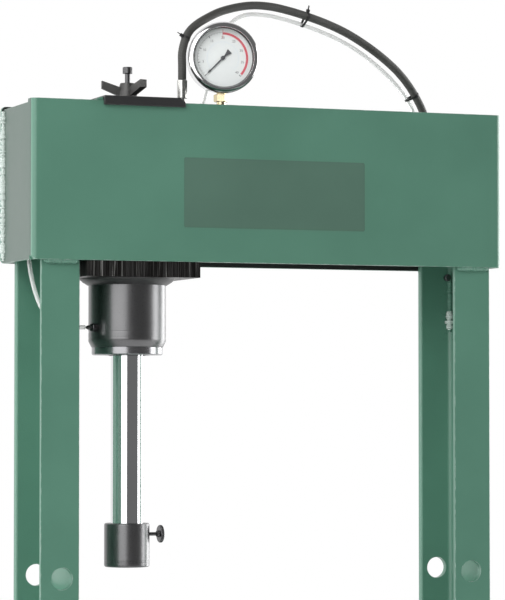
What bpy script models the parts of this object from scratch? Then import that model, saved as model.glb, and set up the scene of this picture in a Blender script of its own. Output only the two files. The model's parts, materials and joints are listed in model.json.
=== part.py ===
"""Hydraulic shop press: a welded frame of two channel posts under a plated beam, a pressing head
that slides along the beam, a table carried on two pins, and a hand pump on the right post.

Metres, +Z up, front towards -Y. The origin is on the floor under the middle of the whole press.
Every piece is its own object. Moving groups hang on empties that stand on their joints' axes.
"""
import math

import bmesh
import bpy
from mathutils import Matrix, Vector

# ---------------------------------------------------------------- driving dimensions
GAP = 0.0003            # between two pieces that touch
BEAM_L = 0.770          # length of the front plate
BEAM_H = 0.240          # height of the beam's plates
BEAM_Z = 1.535          # underside of the beam above the floor
PLATE_T = 0.008         # thickness of the beam's plates
PLATE_BEND_R = 0.010    # outer bend radius of the front plate
END_DROP = 0.005        # how much lower the bent ends stop than the front
CORNER_CUT = 0.006      # 45 degree cut at the front plate's lower corners
REAR_PROUD = 0.003      # how far the rear plate reaches past the bent ends
REAR_CORNER_R = 0.007

POST_D = 0.140          # channel depth, front to back
POST_W = 0.060          # channel flange width
POST_WEB = 0.007
POST_FLANGE = 0.010
POST_ROOT_R = 0.008
POST_TOE_R = 0.004
POST_INSET = 0.018      # from the beam's end to the post
POST_TOP_DROP = 0.015   # how far below the beam's top the posts stop

PIN_HOLE_D = 0.033
PIN_HOLE_INSET = 0.033  # from a post's outer edge to the hole's centre
PIN_HOLE_TOP = 0.474    # first hole below the beam
PIN_HOLE_PITCH = 0.120
PIN_HOLE_COUNT = 7
TABLE_HOLE = 4          # which hole carries the table, 0 is the highest

FOOT_L = 0.650
FOOT_W = 0.090
FOOT_H = 0.100
FOOT_T = 0.010
GUSSET_L = 0.120
GUSSET_H = 0.110
GUSSET_T = 0.008
TIE_Z = 0.220           # middle of the rear cross tie
TIE_H = 0.100
TIE_T = 0.008

TABLE_H = 0.160         # channel height of the table
TABLE_FLANGE_W = 0.065
TABLE_WEB = 0.0075
TABLE_FLANGE = 0.0105
TABLE_ROOT_R = 0.009
TABLE_L = 0.740
TABLE_CLEAR = 0.001     # between a post and the table's channel
SPACER_T = 0.010
SPACER_H = 0.120
SPACER_X = 0.235        # from the middle to a spacer
TABLE_PIN_D = 0.030
TABLE_PIN_KNOB_D = 0.046
TABLE_PIN_KNOB_L = 0.022
TABLE_PIN_PAST = 0.006  # how far a pin reaches past the rear channel

HEAD_X = -0.209         # head axis from the beam's middle, head fully left
HEAD_PLATE_L = 0.181
HEAD_PLATE_T = 0.0235
BARREL_D = 0.118
BARREL_BORE = 0.090
BARREL_TOP = 0.200      # above the beam's underside
BARREL_BOTTOM = -0.128
BARREL_CHAMFER = 0.009
BARREL_CHAMFER_IN = 0.0045
CLOSURE_T = 0.025
GLAND_D = 0.108
GLAND_DROP = 0.012      # how far the gland shows below the barrel
GLAND_IN = 0.030        # how far it reaches into the barrel
BUSH_L = 0.030
WIPER_H = 0.006
WIPER_T = 0.005
ROD_D = 0.050
ROD_BORE = 0.028
ROD_FLOOR = 0.012
RUN_CLEAR = 0.0003      # radial running clearance

PISTON_TOP = 0.000      # above the beam's underside, ram as it stands
PISTON_T = 0.040
PISTON_SEAL_W = 0.008
PISTON_SEAL_DEPTH = 0.004
CAP_D = 0.069
CAP_H = 0.0665
CAP_TOP = -0.3947       # below the beam's underside, ram as it stands
CAP_SOCKET = 0.0444
CAP_EDGE_R = 0.003
SCREW_SHANK_D = 0.0055
SCREW_REACH = 0.054     # from the ram's axis to the middle of the knurled disc
SCREW_DISC_D = 0.027
SCREW_DISC_T = 0.005
SCREW_DOWN = 0.0172     # screw below the cap's top

CLAMP_L = 0.129
CLAMP_T = 0.0067
CLAMP_LIP_T = 0.006
CLAMP_LIP_H = 0.007
CLAMP_CLEAR = 0.0006
CLAMP_CUT = 0.007       # chamfer at the clamp plate's top right edge
STUD_D = 0.008
STUD_HEAD_D = 0.015
STUD_HEAD_T = 0.010
STUD_TOP = 0.300
NUT_HUB_D = 0.0294
NUT_HUB_H = 0.016
NUT_TOP = 0.278
NUT_NECK_D = 0.020
ARM_R = 0.040
ARM_W = 0.009
ARM_T = 0.010
ARM_RISE = math.radians(21)
ARM_Z = 0.263
ARM_ANGLES = (169, 289, 49)

MANIFOLD_SIZE = 0.030
MANIFOLD_END = 0.170    # its right end from the head's axis
MANIFOLD_TOP = 0.2253
HOSE_PORT_X = 0.0886    # ports from the head's axis
GAUGE_PORT_X = 0.1525
FERRULE_D = 0.0156
FERRULE_Z = (0.255, 0.284)
HOSE_D = 0.0128
TUBE_D = 0.0065
GAUGE_Z = 0.319
GAUGE_TURN = math.radians(10)    # its face is turned a little towards the left
GAUGE_D = 0.110
GAUGE_CASE_D = 0.105
GAUGE_WALL = 0.002
GAUGE_BACK = 0.022
GAUGE_RIM = 0.021
BEZEL_BACK = 0.010
BEZEL_FRONT = 0.0275
BEZEL_LIP_R = 0.0465
LENS_T = 0.0029
DIAL_FRONT = 0.0135
DIAL_T = 0.0015
POINTER_T = 0.0010
POINTER_L = 0.036
POINTER_TAIL = 0.015
HEX_D = 0.0235          # across corners
HEX_H = 0.0117
STEM_D = 0.0144
BOURDON_R = 0.032
BOURDON_WIRE_R = 0.004

BARB_Z = -0.099
BARB_ANGLE = math.radians(200)
BARB_L = 0.018
BARB_D = 0.0125
TUBE_HOLE_Y = -0.0295   # where the return tube goes through the left post

SPRING_R = 0.0115
SPRING_WIRE_R = 0.0016
SPRING_TURNS = 20
SPRING_STEPS = 8

BRACKET_T = 0.008
BRACKET_W = 0.110
BRACKET_EAR = 0.032
TANK_W = 0.160          # across X
TANK_D = 0.140          # across Y
TANK_H = 0.180
TANK_Z = 0.620
TANK_WALL = 0.003
FILLER_D = 0.022
PUMP_X = 0.470          # plane of the pump's lever from the beam's middle
BLOCK_W = 0.050
BLOCK_D = 0.076
BLOCK_H = 0.090
PLUNGER_D = 0.016
PLUNGER_HEAD_D = 0.029  # front to back, clear of the pivot lug
PLUNGER_Y = -0.0123
PIVOT_Y = 0.015
PIVOT_UP = 0.0347       # lever pivot above the pump block
DRIVE_R = 0.030         # from the pivot to the drive pin
LEVER_SWING = math.radians(70)
LEVER_LEAN = math.radians(-4)
PIVOT_PIN_D = 0.010
DRIVE_PIN_D = 0.008
YOKE_W = 0.036
YOKE_SLOT = 0.0194
LUG_W = 0.018
LEVER_BAR_D = 0.025
LEVER_L = 0.600
GRIP_L = 0.125
GRIP_D = 0.034
KNOB_D = 0.034
KNOB_L = 0.020
OUTLET_UP = 0.042       # pressure outlet above the pump block's foot
OUTLET_OUT = 0.0315
OUTLET_RISE = 0.049

# ---------------------------------------------------------------- derived places
BEAM_D = POST_D + 2 * (PLATE_T + GAP)
POST_X = BEAM_L / 2 - POST_INSET - POST_W / 2
POST_BASE = FOOT_T + GAP
POST_TOP = BEAM_Z + BEAM_H - POST_TOP_DROP
PIN_X = BEAM_L / 2 - POST_INSET - PIN_HOLE_INSET
PIN_HOLES = [BEAM_Z - PIN_HOLE_TOP - PIN_HOLE_PITCH * n for n in range(PIN_HOLE_COUNT)]
TABLE_PIN_Z = PIN_HOLES[TABLE_HOLE] - (PIN_HOLE_D - TABLE_PIN_D) / 2 + GAP
TABLE_Z = TABLE_PIN_Z + TABLE_PIN_D / 2 + GAP
TABLE_FACE = POST_D / 2 + TABLE_CLEAR
ROD_BOTTOM = CAP_TOP - CAP_SOCKET + GAP
POST_OUTER = BEAM_L / 2 - POST_INSET
BRACKET_X = POST_OUTER + GAP
TANK_X = BRACKET_X + BRACKET_T + GAP
PRESS_LEFT = -BEAM_L / 2 - REAR_PROUD
PRESS_RIGHT = TANK_X + TANK_W
SHIFT_X = -(PRESS_LEFT + PRESS_RIGHT) / 2
PIVOT_Z = TANK_Z + TANK_H + GAP + BLOCK_H + PIVOT_UP
BLOCK_Z = TANK_Z + TANK_H + GAP
DRIVE_RISE = LEVER_SWING / 2
PLUNGER_SLOT_W = 2 * (DRIVE_R * (1 - math.cos(DRIVE_RISE)) / 2 + DRIVE_PIN_D / 2 + 0.0005)
GAUGE_STEM_TOP = GAUGE_Z - BOURDON_R - BOURDON_WIRE_R - GAP

# The hose's own route, by hand, from the ferrule over the beam and down behind the right post.
# X from the beam's middle, Y from its middle plane, Z from its underside.
HOSE_ROUTE = [
    (-0.1204, 0.000, 0.2843), (-0.1204, 0.000, 0.304), (-0.1195, 0.001, 0.330), (-0.106, 0.006, 0.361),
    (-0.064, 0.018, 0.389), (-0.033, 0.026, 0.401), (0.004, 0.033, 0.409), (0.038, 0.039, 0.410),
    (0.073, 0.046, 0.406), (0.108, 0.052, 0.399), (0.144, 0.059, 0.390), (0.180, 0.066, 0.378),
    (0.215, 0.073, 0.362), (0.252, 0.081, 0.341), (0.284, 0.089, 0.318), (0.313, 0.098, 0.288),
    (0.336, 0.106, 0.250), (0.347, 0.111, 0.190), (0.353, 0.112, 0.100), (0.362, 0.112, -0.050),
    (0.373, 0.111, -0.200), (0.385, 0.109, -0.330), (0.400, 0.104, -0.430), (0.424, 0.092, -0.520),
    (0.450, 0.075, -0.578), (0.4670, 0.0638, -0.6120), (0.4700, 0.0620, -0.6320), (0.4700, 0.0620, -0.6503),
]
# The clear return tube's route: from the barrel's barb through the left post, up inside it, along
# the beam, up to the hose, and beside the hose down to the tank.
TUBE_ROUTE = [
    (-0.2857, -0.0279, -0.099), (-0.300, -0.0300, -0.099), (-0.318, -0.0290, -0.098),
    (-0.334, -0.0180, -0.090), (-0.345, 0.0000, -0.070), (-0.353, 0.0140, -0.038),
    (-0.358, 0.0220, 0.000), (-0.359, 0.0240, 0.060), (-0.358, 0.0240, 0.140), (-0.354, 0.0280, 0.205),
    (-0.340, 0.0400, 0.2310), (-0.310, 0.0560, 0.2340), (-0.260, 0.0655, 0.2290), (-0.200, 0.0660, 0.2200),
    (-0.140, 0.0640, 0.2130), (-0.100, 0.0560, 0.2180), (-0.075, 0.0480, 0.2420), (-0.060, 0.0450, 0.290),
    (-0.048, 0.0450, 0.340), (-0.032, 0.0440, 0.374), (-0.004, 0.0430, 0.394), (0.036, 0.0480, 0.397),
    (0.070, 0.0550, 0.393), (0.105, 0.0610, 0.386), (0.141, 0.0680, 0.377), (0.177, 0.0750, 0.365),
    (0.212, 0.0820, 0.349), (0.247, 0.0900, 0.328), (0.278, 0.0980, 0.305), (0.306, 0.1070, 0.277),
    (0.326, 0.1150, 0.242), (0.336, 0.1215, 0.185), (0.342, 0.1235, 0.100), (0.351, 0.1235, -0.050),
    (0.361, 0.1225, -0.200), (0.373, 0.1205, -0.330), (0.387, 0.1150, -0.440), (0.402, 0.0980, -0.540),
    (0.415, 0.0700, -0.620), (0.4206, 0.0480, -0.668), (0.4206, 0.0450, -0.690), (0.4206, 0.0450, -0.7184),
]

# ---------------------------------------------------------------- scene and materials
for old in list(bpy.data.objects):
    bpy.data.objects.remove(old, do_unlink=True)

parts = bpy.data.collections.new("shop_press")
cutters = bpy.data.collections.new("cutters")
bpy.context.scene.collection.children.link(parts)
bpy.context.scene.collection.children.link(cutters)


def material(name, colour, roughness, metallic):
    made = bpy.data.materials.new(name)
    made.use_nodes = True
    shader = made.node_tree.nodes["Principled BSDF"]
    shader.inputs["Base Color"].default_value = (*colour, 1.0)
    shader.inputs["Roughness"].default_value = roughness
    shader.inputs["Metallic"].default_value = metallic
    return made


GREEN = material("frame_green", (0.098, 0.223, 0.165), 0.35, 0.0)
BLACK = material("black_paint", (0.022, 0.022, 0.023), 0.38, 0.0)
CHROME = material("hard_chrome", (0.78, 0.79, 0.81), 0.08, 1.0)
STEEL = material("bare_steel", (0.48, 0.48, 0.49), 0.32, 1.0)
BRASS = material("brass", (0.72, 0.55, 0.27), 0.25, 1.0)
BRONZE = material("bronze", (0.50, 0.33, 0.16), 0.35, 1.0)
RUBBER = material("seal_rubber", (0.015, 0.015, 0.015), 0.6, 0.0)
HOSE = material("hose_rubber", (0.055, 0.055, 0.052), 0.6, 0.0)
CLEAR = material("clear_tube", (0.85, 0.87, 0.86), 0.2, 0.0)
WHITE = material("dial_white", (0.86, 0.87, 0.87), 0.5, 0.0)
LENS = material("lens", (0.95, 0.96, 0.97), 0.02, 0.0)
RED = material("knob_red", (0.45, 0.02, 0.015), 0.4, 0.0)


# ---------------------------------------------------------------- modelling helpers
def empty(name, parent, location):
    made = bpy.data.objects.new(name, None)
    parts.objects.link(made)
    made.parent = parent
    made.location = location
    return made


def add(name, mesh, finish, parent, location=(0, 0, 0), rotation=(0, 0, 0)):
    made = bpy.data.objects.new(name, mesh)
    parts.objects.link(made)
    made.parent = parent
    made.location = location
    made.rotation_euler = rotation
    if finish is not None:
        mesh.materials.clear()
        mesh.materials.append(finish)
    return made


def smooth(made, angle=math.radians(35)):
    made.data.shade_smooth()
    made.data.set_sharp_from_angle(angle=angle)
    return made


def as_cutter(made):
    parts.objects.unlink(made)
    cutters.objects.link(made)
    made.hide_render = True
    made.display_type = "WIRE"
    return made


def boolean(target, tool, operation="DIFFERENCE"):
    made = target.modifiers.new(tool.name, "BOOLEAN")
    made.operation = operation
    made.solver = "EXACT"
    made.object = as_cutter(tool)


def block(name, size, finish, parent, location, bevel=0.0, rotation=(0, 0, 0)):
    shape = bmesh.new()
    bmesh.ops.create_cube(shape, size=1.0)
    bmesh.ops.scale(shape, vec=size, verts=shape.verts)
    mesh = bpy.data.meshes.new(name)
    shape.to_mesh(mesh)
    shape.free()
    made = add(name, mesh, finish, parent, location, rotation)
    if bevel:
        edge = made.modifiers.new("edge", "BEVEL")
        edge.width = bevel
        edge.segments = 2
    return made


def rod(name, diameter, length, finish, parent, location, rotation=(0, 0, 0), sides=32):
    shape = bmesh.new()
    bmesh.ops.create_cone(shape, cap_ends=True, segments=sides, radius1=diameter / 2,
                          radius2=diameter / 2, depth=length)
    mesh = bpy.data.meshes.new(name)
    shape.to_mesh(mesh)
    shape.free()
    return smooth(add(name, mesh, finish, parent, location, rotation))


def turned(name, profile, finish, parent, location=(0, 0, 0), rotation=(0, 0, 0), sides=36, ring=False):
    """Profile points are (radius, height), down the outer side. A ring closes on itself."""
    mesh = bpy.data.meshes.new(name)
    edges = [(i, i + 1) for i in range(len(profile) - 1)]
    if ring:
        edges.append((len(profile) - 1, 0))
    mesh.from_pydata([(r, 0.0, h) for r, h in profile], edges, [])
    made = add(name, mesh, finish, parent, location, rotation)
    screw = made.modifiers.new("turn", "SCREW")
    screw.angle = math.tau
    screw.steps = sides
    screw.render_steps = sides
    screw.use_merge_vertices = True
    screw.merge_threshold = 0.00001
    screw.use_smooth_shade = True
    return made


def arc(cx, cy, radius, start, end, steps=4):
    """Points on a circle from start to end, in degrees."""
    turn = [math.radians(start + (end - start) * i / steps) for i in range(steps + 1)]
    return [(cx + radius * math.cos(a), cy + radius * math.sin(a)) for a in turn]


def flat(name, loops, thickness, finish, parent, location=(0, 0, 0), rotation=(0, 0, 0)):
    """An outline, with any holes as further loops, made thick about its own plane."""
    curve = bpy.data.curves.new(name, "CURVE")
    curve.dimensions = "2D"
    curve.fill_mode = "BOTH"
    curve.extrude = thickness / 2
    for loop in loops:
        spline = curve.splines.new("POLY")
        spline.points.add(len(loop) - 1)
        for point, (x, y) in zip(spline.points, loop):
            point.co = (x, y, 0.0, 1.0)
        spline.use_cyclic_u = True
    return meshed(add_curve(name, curve), finish, parent, location, rotation)


def add_curve(name, curve):
    made = bpy.data.objects.new(name, curve)
    parts.objects.link(made)
    return made


def meshed(made, finish, parent, location, rotation):
    """A curve's solid as a mesh with its caps welded."""
    bpy.context.view_layer.update()
    seen = made.evaluated_get(bpy.context.evaluated_depsgraph_get())
    mesh = bpy.data.meshes.new_from_object(seen)
    name = made.name
    curve = made.data
    bpy.data.objects.remove(made)
    bpy.data.curves.remove(curve)
    shape = bmesh.new()
    shape.from_mesh(mesh)
    bmesh.ops.remove_doubles(shape, verts=shape.verts, dist=0.000001)
    shape.to_mesh(mesh)
    shape.free()
    mesh.name = name
    placed = add(name, mesh, finish, parent, location, rotation)
    return smooth(placed)


def smooth_line(route, spacing):
    """Even points along a smooth curve through the route (centripetal Catmull-Rom)."""
    points = [Vector(p) for p in route]
    points = [2 * points[0] - points[1]] + points + [2 * points[-1] - points[-2]]
    fine = []
    for a, b, c, d in zip(points, points[1:], points[2:], points[3:]):
        t0 = 0.0
        t1 = t0 + (b - a).length ** 0.5
        t2 = t1 + (c - b).length ** 0.5
        t3 = t2 + (d - c).length ** 0.5
        for step in range(16):
            t = t1 + (t2 - t1) * step / 16
            ab = a.lerp(b, (t - t0) / (t1 - t0))
            bc = b.lerp(c, (t - t1) / (t2 - t1))
            cd = c.lerp(d, (t - t2) / (t3 - t2))
            abc = ab.lerp(bc, (t - t0) / (t2 - t0))
            bcd = bc.lerp(cd, (t - t1) / (t3 - t1))
            fine.append(abc.lerp(bcd, (t - t1) / (t2 - t1)))
    fine.append(points[-2])
    total = sum((q - p).length for p, q in zip(fine, fine[1:]))
    count = max(2, round(total / spacing))
    even = [fine[0]]
    walked = 0.0
    for p, q in zip(fine, fine[1:]):
        length = (q - p).length
        while len(even) < count and walked + length >= total * len(even) / count:
            even.append(p.lerp(q, (total * len(even) / count - walked) / length))
        walked += length
    even.append(fine[-1])
    return even


def tube_along(name, points, diameter, finish, parent, resolution=2):
    curve = bpy.data.curves.new(name, "CURVE")
    curve.dimensions = "3D"
    curve.bevel_depth = diameter / 2
    curve.bevel_resolution = resolution
    curve.use_fill_caps = True
    spline = curve.splines.new("POLY")
    spline.points.add(len(points) - 1)
    for point, place in zip(spline.points, points):
        point.co = (*place, 1.0)
    return meshed(add_curve(name, curve), finish, parent, (0, 0, 0), (0, 0, 0))


FACE_FRONT = (math.radians(90), 0, 0)       # a flat piece or turned axis facing -Y
FACE_SIDE = (math.radians(90), 0, math.radians(90))   # outline's x along +Y, y along +Z
TO_RIGHT = (0, math.radians(90), 0)         # an axis along +X


# ---------------------------------------------------------------- frame
def channel_outline(depth, width, web, flange, root_r, toe_r):
    """Open towards -X, web at +X, centred on its own box."""
    x0, x1 = -width / 2, width / 2
    y1 = depth / 2
    inner = y1 - flange
    wx = x1 - web
    upper = [(x1, y1), (x0, y1)]
    upper += arc(x0 + toe_r, inner + toe_r, toe_r, 180, 270)
    upper += arc(wx - root_r, inner - root_r, root_r, 90, 0)
    lower = [(x, -y) for x, y in reversed(upper)]
    return upper + lower


def angle_outline(width, height, thickness):
    """Flat leg along x from 0 to width, upright leg at its far end."""
    inner = width - thickness
    return [(0, 0), (width, 0), (width, height), (inner, height), (inner, thickness), (0, thickness)]


def pin_hole_cutter(name, parent, x):
    shape = bmesh.new()
    for z in PIN_HOLES:
        turn = Matrix.Translation((0, 0, z)) @ Matrix.Rotation(math.radians(90), 4, "X")
        bmesh.ops.create_cone(shape, cap_ends=True, segments=16, radius1=PIN_HOLE_D / 2,
                              radius2=PIN_HOLE_D / 2, depth=POST_D * 1.2, matrix=turn)
    mesh = bpy.data.meshes.new(name)
    shape.to_mesh(mesh)
    shape.free()
    return add(name, mesh, None, parent, (x, 0, 0))


def make_post(name, parent, x, pin_x, tube_hole):
    outline = channel_outline(POST_D, POST_W, POST_WEB, POST_FLANGE, POST_ROOT_R, POST_TOE_R)
    length = POST_TOP - POST_BASE
    post = flat(name, [outline], length, GREEN, parent, (x, 0, POST_BASE + length / 2))
    boolean(post, pin_hole_cutter(name + "_pin_holes", parent, pin_x))
    if tube_hole:
        place = (x + POST_W / 2 - POST_WEB / 2, TUBE_HOLE_Y, BEAM_Z + BARB_Z)
        boolean(post, rod(name + "_tube_hole", 0.013, POST_WEB * 3, None, parent, place, TO_RIGHT, 20))
    return post


def make_beam(parent):
    half, back = BEAM_L / 2, BEAM_D / 2
    r, t = PLATE_BEND_R, PLATE_T
    end = back - t - GAP
    outer = [(half, end)] + arc(half - r, -back + r, r, 0, -90)
    inner = arc(half - r, -back + r, r - t, -90, 0) + [(half - t, end)]
    outline = [(-x, y) for x, y in outer] + outer[::-1] + inner[::-1] + [(-x, y) for x, y in inner]
    front = flat("beam_front_plate", [outline], BEAM_H, GREEN, parent, (0, 0, BEAM_Z + BEAM_H / 2))
    for side, word in ((-1, "left"), (1, "right")):
        size = (r * 2, BEAM_D - 2 * r, END_DROP * 2)
        place = (side * half, r, BEAM_Z + BEAM_H)
        boolean(front, block("end_drop_" + word, size, None, parent, place))
        cut = CORNER_CUT * math.sqrt(2)
        place = (side * half, -back, BEAM_Z)
        boolean(front, block("corner_cut_" + word, (cut, 3 * t, cut), None, parent, place,
                             rotation=(0, math.radians(45), 0)))
    w, h, c = half + REAR_PROUD, BEAM_H / 2, REAR_CORNER_R
    rear = []
    for sx, sz, start in ((1, 1, 0), (-1, 1, 90), (-1, -1, 180), (1, -1, 270)):
        rear += arc(sx * (w - c), sz * (h - c), c, start, start + 90)
    flat("beam_rear_plate", [rear], t, GREEN, parent, (0, back - t / 2, BEAM_Z + h), FACE_FRONT)
    stop = [(-0.014, 0), (0, 0), (0, 0.0045), (-0.003, 0.0045)]
    place = (HEAD_X - CLAMP_L / 2 - GAP, -back + t / 2, BEAM_Z + BEAM_H + GAP)
    flat("head_stop", [stop], t, GREEN, parent, place, FACE_FRONT)


def make_foot(name, parent, x):
    """An angle on the floor, upright leg against the post's web, with a gusset at each flange."""
    left = x + POST_W / 2 + GAP + FOOT_T - FOOT_W
    outline = angle_outline(FOOT_W, FOOT_H, FOOT_T)
    foot = flat(name, [outline], FOOT_L, GREEN, parent, (left, 0, 0), FACE_FRONT)
    sink = 0.002
    side = POST_D / 2 + GAP
    for sign, word in ((-1, "front"), (1, "rear")):
        shape = [(sign * side, FOOT_T - sink), (sign * (side + GUSSET_L), FOOT_T - sink),
                 (sign * (side + GUSSET_L), FOOT_T + 0.012), (sign * (side + 0.012), FOOT_T + GUSSET_H),
                 (sign * side, FOOT_T + GUSSET_H)]
        gusset = flat(name + "_gusset_" + word, [shape], GUSSET_T, None, parent, (x, 0, 0), FACE_SIDE)
        boolean(foot, gusset, "UNION")
    return foot


def make_frame(parent):
    make_post("left_post", parent, -POST_X, -PIN_X, True)
    make_post("right_post", parent, POST_X, PIN_X, False)
    make_beam(parent)
    make_foot("left_foot", parent, -POST_X)
    make_foot("right_foot", parent, POST_X)
    block("cross_tie", (2 * POST_OUTER, TIE_T, TIE_H), GREEN, parent,
          (0, POST_D / 2 + GAP + TIE_T / 2, TIE_Z), 0.001)


# ---------------------------------------------------------------- table and its pins
def make_table(parent):
    """Two channels, webs against the posts, tied by two spacers inside the posts."""
    outline = channel_outline(TABLE_H, TABLE_FLANGE_W, TABLE_WEB, TABLE_FLANGE, TABLE_ROOT_R, 0.005)
    y = TABLE_FACE + TABLE_FLANGE_W / 2
    z = TABLE_H / 2
    turn_front = Matrix.Rotation(math.radians(90), 4, "Y") @ Matrix.Rotation(math.radians(90), 4, "Z")
    front = flat("table_front_channel", [outline], TABLE_L, GREEN, parent, (0, -y, z))
    front.rotation_euler = turn_front.to_euler()
    turn_rear = Matrix.Rotation(math.radians(180), 4, "Z") @ turn_front
    rear = flat("table_rear_channel", [outline], TABLE_L, GREEN, parent, (0, y, z))
    rear.rotation_euler = turn_rear.to_euler()
    width = 2 * (TABLE_FACE - GAP)
    for sign, word in ((-1, "left"), (1, "right")):
        block("table_spacer_" + word, (SPACER_T, width, SPACER_H), GREEN, parent,
              (sign * SPACER_X, 0, TABLE_H / 2), 0.001)


def make_table_pin(name, parent):
    """Its own origin is on its axis, halfway through the post."""
    reach = TABLE_FACE + TABLE_FLANGE_W
    r, k = TABLE_PIN_D / 2, TABLE_PIN_KNOB_D / 2
    top = reach + 0.004
    profile = [(0, top + TABLE_PIN_KNOB_L), (k - 0.003, top + TABLE_PIN_KNOB_L),
               (k, top + TABLE_PIN_KNOB_L - 0.003), (k, top + 0.002), (k - 0.002, top), (r, top),
               (r, -reach - TABLE_PIN_PAST + 0.003), (r - 0.003, -reach - TABLE_PIN_PAST),
               (0, -reach - TABLE_PIN_PAST)]
    turned(name, profile, STEEL, parent, (0, 0, 0), FACE_FRONT, 32)


# ---------------------------------------------------------------- pressing head
def make_cylinder(parent):
    top, bore, outer = BARREL_TOP, BARREL_BORE / 2, BARREL_D / 2
    low = BARREL_BOTTOM
    plate = block("head_plate", (HEAD_PLATE_L, BEAM_D, HEAD_PLATE_T), BLACK, parent,
                  (0, 0, -GAP - HEAD_PLATE_T / 2), 0.0012)
    boolean(plate, rod("barrel_seat", BARREL_D + 2 * GAP, HEAD_PLATE_T * 2, None, parent,
                       (0, 0, -HEAD_PLATE_T / 2), sides=48))
    barrel = turned("cylinder_barrel", [
        (bore, top), (outer, top), (outer, low + BARREL_CHAMFER),
        (outer - BARREL_CHAMFER_IN, low), (bore, low)], BLACK, parent, ring=True)
    boolean(barrel, rod("return_port", 0.006, 0.04, None, parent, polar(BARREL_D / 2, BARB_ANGLE, BARB_Z),
                        (0, math.radians(90), BARB_ANGLE), 12))
    closure = turned("cylinder_closure", [
        (0, top + GAP + CLOSURE_T), (outer - 0.002, top + GAP + CLOSURE_T),
        (outer, top + GAP + CLOSURE_T - 0.002), (outer, top + GAP), (bore - GAP, top + GAP),
        (bore - GAP, top - 0.010), (0, top - 0.010)], BLACK, parent)
    boolean(closure, rod("stud_socket", STUD_D + 2 * GAP, 0.036, None, parent, (0, 0, top + 0.026), sides=16))
    gr, inside = ROD_D / 2 + RUN_CLEAR, bore - GAP
    glo = low - GLAND_DROP
    turned("gland_nut", [
        (gr, low + GLAND_IN), (inside, low + GLAND_IN), (inside, low - GAP), (GLAND_D / 2, low - GAP),
        (GLAND_D / 2, glo + 0.0015), (GLAND_D / 2 - 0.0015, glo), (gr + WIPER_T + GAP, glo),
        (gr + WIPER_T + GAP, glo + WIPER_H + GAP), (gr, glo + WIPER_H + GAP)],
        BLACK, parent, ring=True)
    turned("rod_wiper", [
        (gr, glo + WIPER_H), (gr + WIPER_T, glo + WIPER_H), (gr + WIPER_T, glo),
        (gr + 0.002, glo - 0.001), (gr, glo + 0.001)], RUBBER, parent, ring=True)
    bush = low + GLAND_IN + GAP
    turned("rod_bush", [(gr, bush + BUSH_L), (inside, bush + BUSH_L), (inside, bush), (gr, bush)],
           BRONZE, parent, ring=True)


def polar(radius, angle, z):
    return (radius * math.cos(angle), radius * math.sin(angle), z)


def make_barb(parent):
    """Stepped barb on the barrel's left side, where the return tube pushes on."""
    r = BARB_D / 2
    profile = [(0, BARB_L), (0.0026, BARB_L), (0.0036, BARB_L - 0.004), (0.0026, BARB_L - 0.0045),
               (0.0026, BARB_L - 0.007), (r - 0.001, BARB_L - 0.007), (r, BARB_L - 0.008),
               (r, 0.0), (0, 0.0)]
    outer = BARREL_D / 2 + GAP
    turned("cylinder_barb", profile, BLACK, parent, polar(outer, BARB_ANGLE, BARB_Z),
           (0, math.radians(90), BARB_ANGLE), 20)


def make_spring(parent):
    """Pull spring inside the hollow rod, hung from the closure, that brings the ram back up."""
    top, bottom = BARREL_TOP - 0.013, ROD_BOTTOM + ROD_FLOOR + 0.003
    steps = SPRING_TURNS * SPRING_STEPS
    points = []
    for step in range(steps + 1):
        turn = math.tau * step / SPRING_STEPS
        z = top + (bottom - top) * step / steps
        points.append((SPRING_R * math.cos(turn), SPRING_R * math.sin(turn), z))
    tube_along("return_spring", points, 2 * SPRING_WIRE_R, STEEL, parent, 0)


def make_clamp(parent):
    """Plate over the beam with lips on both plates, its stud, and the socket-head stop screw."""
    out = BEAM_D / 2 + CLAMP_CLEAR
    lip = out + CLAMP_LIP_T
    low, top = -CLAMP_LIP_H, GAP + CLAMP_T
    outline = [(-lip, low), (-out, low), (-out, GAP), (out, GAP), (out, low), (lip, low), (lip, top),
               (-lip, top)]
    plate = flat("clamp_plate", [outline], CLAMP_L, BLACK, parent, (0, 0, BEAM_H), FACE_SIDE)
    boolean(plate, rod("stud_hole", 0.010, 0.03, None, parent, (0, 0, BEAM_H), sides=16))
    cut = CLAMP_CUT * math.sqrt(2)
    boolean(plate, block("clamp_corner", (cut * 1.3, BEAM_D * 1.3, cut), None, parent,
                         (CLAMP_L / 2, 0, BEAM_H + top), rotation=(0, math.radians(38), 0)))
    r, h = STUD_D / 2, STUD_HEAD_D / 2
    turned("clamp_screw", [
        (0, STUD_TOP - 0.004), (0.0045, STUD_TOP - 0.004), (0.0045, STUD_TOP), (h - 0.001, STUD_TOP),
        (h, STUD_TOP - 0.001), (h, STUD_TOP - STUD_HEAD_T), (r, STUD_TOP - STUD_HEAD_T),
        (r, BARREL_TOP + 0.010), (0, BARREL_TOP + 0.010)], BLACK, parent, sides=24)


def make_wing_nut(parent):
    """Three-arm clamping nut on the stud. Its origin is on the stud's axis, at its seat."""
    bore, hub, neck = STUD_D / 2 + RUN_CLEAR, NUT_HUB_D / 2, NUT_NECK_D / 2
    top = NUT_TOP - (BEAM_H + 2 * GAP + CLAMP_T)
    nut = turned("wing_nut", [
        (bore, top), (neck, top), (hub, NUT_HUB_H), (hub, 0.001), (hub - 0.001, 0), (bore, 0)], BLACK, parent, sides=32, ring=True)
    for angle in ARM_ANGLES:
        start = bore + 0.002
        length = ARM_R - start
        lift = math.tan(ARM_RISE) * length
        base = ARM_Z - (BEAM_H + 2 * GAP + CLAMP_T) - ARM_T / 2
        shape = [(start, base), (ARM_R, base + lift), (ARM_R, base + lift + ARM_T), (start, base + ARM_T)]
        arm = flat(f"arm_{angle}", [shape], ARM_W, None, parent, (0, 0, 0),
                   (math.radians(90), 0, math.radians(angle)))
        boolean(nut, arm, "UNION")


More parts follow.
